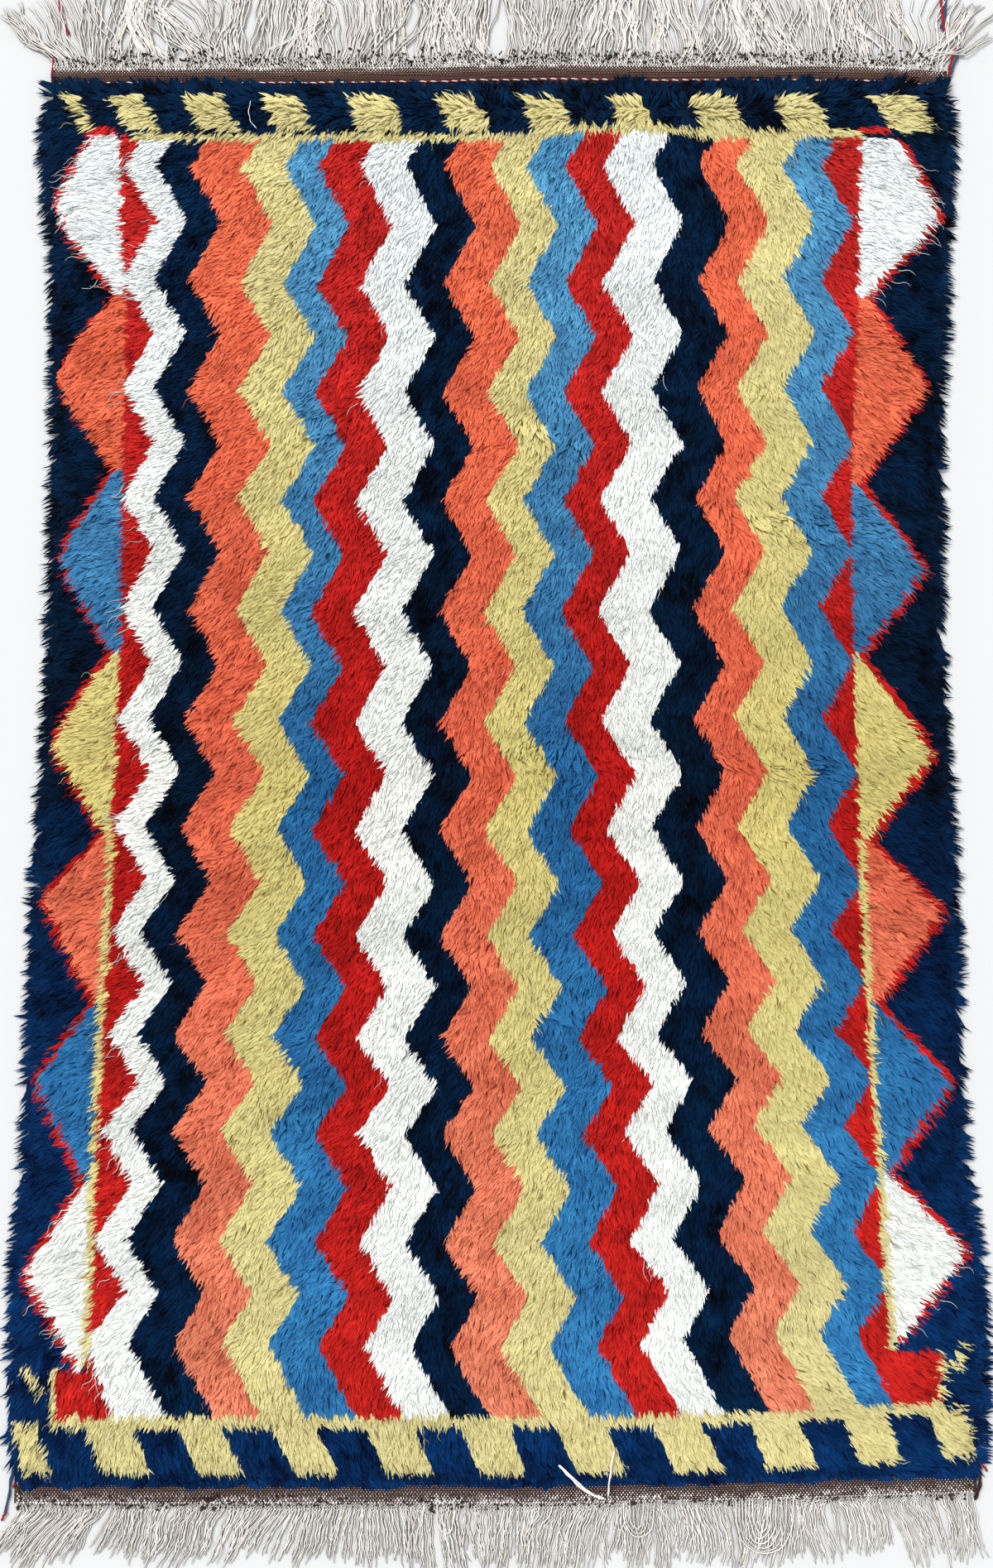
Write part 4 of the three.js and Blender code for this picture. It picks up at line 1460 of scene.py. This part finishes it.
class Stretch(NamedTuple):
    """A stretch of the weave's end where bits of weft still hang among the warps."""

    start: float
    stop: float
    bits: int


HEAD_STRETCHES = table(
    Stretch, (-500, -470, 3), (-470, -320, 26), (-245, -120, 16), (-95, 90, 16),
    (100, 215, 12), (235, 345, 13), (380, 430, 5), (490, 545, 8),
)
FOOT_STRETCHES = table(Stretch, (-440, -330, 9), (-345, -325, 3), (-60, -20, 3), (520, 560, 4))


@dataclass
class WeftBits:
    """Short ends of brown weft left among the roots of a fringe."""

    name: str
    end: WeaveEnd
    stretches: tuple[Stretch, ...]
    near: float
    far: float
    radius: float = 1.8
    long: float = 1.0
    angle: float = 0.0
    seed: int = 21

    def build(self, effects: Effects) -> Object:
        """Build the bits."""
        rng = np.random.default_rng(self.seed)
        x = np.concatenate([rng.uniform(row.start, row.stop, row.bits) for row in self.stretches])
        count = len(x)
        share = np.linspace(-0.5, 0.5, 4)
        out = self.near + (self.far - self.near) * rng.uniform(0, 1, count) ** 0.8
        angle, length = rng.normal(self.angle, 0.7, count), self.long * rng.uniform(2.5, 6.0, count)
        across = x[:, None] + np.cos(angle)[:, None] * length[:, None] * share
        along = self.end.beyond(across, out[:, None]) + np.sin(angle)[:, None] * length[:, None] * share
        up = np.repeat(rng.uniform(4.2, 5.0, count)[:, None], 4, 1)
        radii = self.radius * rng.uniform(0.75, 1.2, count)[:, None] * np.array([0.5, 1.0, 1.0, 0.5])
        bits = Tubes(self.name, np.stack([across, along, up], axis=2), radii, 3, 0.9, self.seed)
        return bits.build(DARK_YARN.build(effects))


class Loop(NamedTuple):
    """A warp left uncut at the foot: the middle of its loop, its half width and how far out it reaches."""

    x: float
    half: float
    reach: float


FOOT_LOOPS = table(
    Loop, (311, 9, 38), (311, 13, 45), (312, 18, 51), (313, 23, 56), (314, 28, 60),
    (316, 34, 62), (165, 8, 30), (166, 13, 36), (168, 18, 40), (-60, 10, 34),
)


def lay_loops(end: WeaveEnd, effects: Effects) -> Object:
    """Build the uncut loops of the foot's fringe as one piece."""
    share = np.linspace(0, 1, 15)
    x = np.array([row.x - row.half * np.cos(math.pi * share) for row in FOOT_LOOPS])
    out = np.array([row.reach * np.sin(math.pi * share) ** 0.6 for row in FOOT_LOOPS])
    up = np.repeat(4.4 + 0.5 * np.sin(9 * share)[None], len(FOOT_LOOPS), 0)
    paths = np.stack([x + np.sin(out / 4), end.beyond(x, out + 1), up], axis=2)
    loops = Tubes("uncut_loops", paths, np.full(paths.shape[:2], 1.05), seed=13)
    return loops.build(WARP_YARN.build(effects))


class LooseYarn(NamedTuple):
    """A loose yarn: its name, its finish, its half width and the places that it passes."""

    name: str
    finish: YarnFinish
    radius: float
    places: tuple[tuple[float, float, float], ...]


LOOSE_YARNS = table(
    LooseYarn,
    ("selvedge_head_left", RED_YARN, 1.2, ((-556, 872, 4), (-555, 890, 4), (-554, 912, 3), (-552, 934, 2))),
    ("tail_head_left", RED_YARN, 1.6, ((-549, 985, 2), (-546, 972, 3), (-541, 956, 3), (-535, 940, 2))),
    ("tail_head_right_red", RED_YARN, 2.3, ((556, 992, 2), (558, 970, 4), (559, 955, 4), (561, 941, 3))),
    ("tail_head_right_slate", SLATE_YARN, 2.3, ((563, 990, 2), (562, 966, 3), (556, 948, 3))),
    ("selvedge_head_right", RED_YARN, 2.0, ((564, 884, 4), (566, 898, 4), (571, 914, 3), (575, 926, 2))),
    ("selvedge_head_right_slate", SLATE_YARN, 1.9,
     ((567, 888, 4), (571, 900, 3), (577, 914, 3), (580, 928, 2))),
    ("tail_foot_left_red", RED_YARN, 2.0,
     ((-561, -811, 5), (-566, -817, 6), (-567, -825, 5), (-571, -832, 3))),
    ("tail_foot_left_slate", SLATE_YARN, 1.8,
     ((-571, -808, 3), (-574, -825, 2), (-576, -845, 2), (-581, -864, 2))),
    ("tail_foot_left_end", RED_YARN, 1.6, ((-578, -860, 3), (-581, -864, 3), (-584, -870, 2))),
    ("selvedge_foot_right", DARK_YARN, 2.6, ((568, -806, 4), (571, -818, 3), (570, -832, 3), (564, -846, 2))),
    ("tail_foot_right_red", RED_YARN, 1.7, ((571, -804, 6), (577, -808, 4), (579, -813, 2))),
    ("selvedge_foot_left", DARK_YARN, 2.2,
     ((-562, -824, 4), (-563, -834, 4), (-560, -846, 3), (-566, -858, 2))),
    ("thread_foot", WHITE_YARN, 1.9,
     ((73, -801, 18), (84, -812, 17), (97, -828, 9), (111, -838, 6), (128, -844, 5))),
    ("thread_foot_ply", WHITE_YARN, 1.2, ((76, -803, 19), (90, -816, 17), (101, -828, 10), (118, -842, 5))),
    ("thread_foot_upright", WHITE_YARN, 1.2,
     ((138, -784, 18), (135, -800, 18), (133, -818, 15), (131, -842, 6))),
    ("thread_head", WHITE_YARN, 0.5, ((-305, 848, 18), (-307, 833, 19), (-305, 822, 19), (-297, 812, 18))),
    ("knot_foot", DARK_YARN, 1.6, ((-77, -846, 4), (-75, -853, 4), (-79, -857, 4), (-73, -860, 3))),
    ("lump_foot", DARK_YARN, 3.4, ((-347, -842, 4), (-340, -846, 5), (-333, -843, 5), (-328, -839, 4))),
)


def lay_loose_yarns(effects: Effects) -> list[Object]:
    """Build the selvedge ends and the loose threads."""
    pieces = []
    for row in LOOSE_YARNS:
        places = np.array(row.places, float)
        at = np.linspace(0, len(places) - 1, 5 * (len(places) - 1) + 1)
        number = np.arange(len(places))
        path = np.stack([np.interp(at, number, places[:, axis]) for axis in range(3)], axis=1)
        path[1:-1] = (path[:-2] + 2 * path[1:-1] + path[2:]) / 4
        path[:, 0] += 0.35 * np.sin(at * 5)
        radii = row.radius * (0.85 + 0.15 * np.cos(at * 7))
        radii[[0, -1]] *= 0.5
        yarn = Tubes(row.name, path[None], radii[None], 6, 0.9, 3)
        pieces.append(yarn.build(row.finish.build(effects)))
    return pieces


@dataclass
class Studio:
    """The floor, the lights and the camera."""

    distance: float = 2.1
    tilt: float = 4.0
    aim_height: float = 0.012
    photo_tall: float = 1.894
    sensor: float = 24.0

    def floor(self) -> None:
        """Lay a plain pale floor."""
        bpy.ops.object.select_all(action="DESELECT")
        bpy.ops.mesh.primitive_plane_add(size=12.0, location=(0, 0, -0.0004))
        floor = bpy.context.active_object
        floor.name = "floor"
        material, _, shader = new_material("pale_floor")
        shader.inputs["Base Color"].default_value = (0.56, 0.56, 0.555, 1)
        shader.inputs["Roughness"].default_value = 0.7
        shader.inputs["Specular IOR Level"].default_value = 0.2
        floor.data.materials.append(material)

    def daylight(self, power: float, spread: float, place: tuple[float, float, float]) -> None:
        """Shine soft daylight on the rug, even all over, from the side where the place lies."""
        light = bpy.data.lights.new("daylight", "SUN")
        light.energy = power
        light.angle = math.radians(spread)
        sun = bpy.data.objects.new("daylight", light)
        sun.location = place
        away = sun.location.copy()
        sun.rotation_euler = away.to_track_quat("Z", "Y").to_euler()
        bpy.context.collection.objects.link(sun)

    def build(self) -> None:
        """Build the stage."""
        self.floor()
        self.daylight(3.1, 28, (-1.3, 1.5, 2.4))
        world = bpy.data.worlds.new("studio")
        world.use_nodes = True
        world.node_tree.nodes["Background"].inputs["Color"].default_value = (0.95, 0.97, 1.0, 1)
        world.node_tree.nodes["Background"].inputs["Strength"].default_value = 0.95
        bpy.context.scene.world = world
        bpy.context.scene.view_settings.view_transform = "Standard"

    def camera(self) -> None:
        """Set the camera above the rug, a little towards its foot."""
        data = bpy.data.cameras.new("camera")
        data.sensor_fit = "VERTICAL"
        data.sensor_height = self.sensor
        data.lens = self.sensor * self.distance / self.photo_tall
        camera = bpy.data.objects.new("camera", data)
        tilt = math.radians(self.tilt)
        height = self.aim_height + self.distance * math.cos(tilt)
        camera.location = (0, -self.distance * math.sin(tilt), height)
        camera.rotation_euler = (tilt, 0, 0)
        bpy.context.collection.objects.link(camera)
        bpy.context.scene.camera = camera


def main() -> None:
    """Build the stage and the rug, piece by piece."""
    logging.basicConfig(level=logging.INFO, format="%(name)s: %(message)s")
    effects = Effects()
    studio = Studio()
    studio.camera()
    studio.build()
    ground = GroundWeave().build()
    finishes = {kind: WOOLS[kind].build(effects) for kind in Wool}
    pile = Pile()
    locks = pile.build(finishes) + Wisps(pile).build(finishes)
    head, foot = WeaveEnd(True, 12, 2.2, 4.4), WeaveEnd(False, 9, 2.4, 0.0)
    bands = FlatWeave("flat_weave_head", head, BROWN_YARN, HEAD_FLOATS, 1.25).build(effects)
    bands += FlatWeave("flat_weave_foot", foot, FOOT_YARN, FOOT_FLOATS, 1.3, seed=4).build(effects)
    bands += Twining().build(effects)
    head_yarns = Fringe("fringe_yarns_head", "fringe_head", head, 110.0, HEAD_SWEEPS,
                        trim=0.1, radius=1.3, pull=0.24, bend=6.0, strays=180)
    foot_yarns = Fringe("fringe_yarns_foot", "fringe_foot", foot, 98.0, FOOT_SWEEPS,
                        trim=0.46, radius=1.02, pull=0.04, bend=2.6, strays=90,
                        lean=1.8, crimped=8.0, gathering=10.0, wave=0.9, seed=6)
    head_specks, foot_specks = (Stretch(-545, 548, 560),), (Stretch(-555, 560, 620),)
    fringes = [
        head_yarns.build(effects),
        foot_yarns.build(effects),
        lay_loops(foot, effects),
        # Dark weft under the crimped warps: partly leftover weft, partly painted shade between the warps
        WeftAndShadeUnderlay("weft_and_shade_underlay_head", head, (1.0, 1.0, 0.9, 0.85, 0.7, 0.5, 0.4, 0.25), 2.2).build(effects),
        WeftAndShadeUnderlay("weft_and_shade_underlay_foot", foot, (0.75, 0.6, 0.4, 0.2), 2.2).build(effects),
        WeftBits("weft_bits_head", head, HEAD_STRETCHES, 4, 26).build(effects),
        WeftBits("weft_bits_foot", foot, FOOT_STRETCHES, 1, 8, seed=22).build(effects),
        WeftBits("weft_specks_head", head, head_specks, 1, 18, 1.2, 0.55, 1.6, 23).build(effects),
        WeftBits("weft_specks_foot", foot, foot_specks, -9, 3, 1.35, 0.6, 1.6, 24).build(effects),
    ]
    trim = lay_loose_yarns(effects)
    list(bands)


if __name__ == "__main__":
    main()
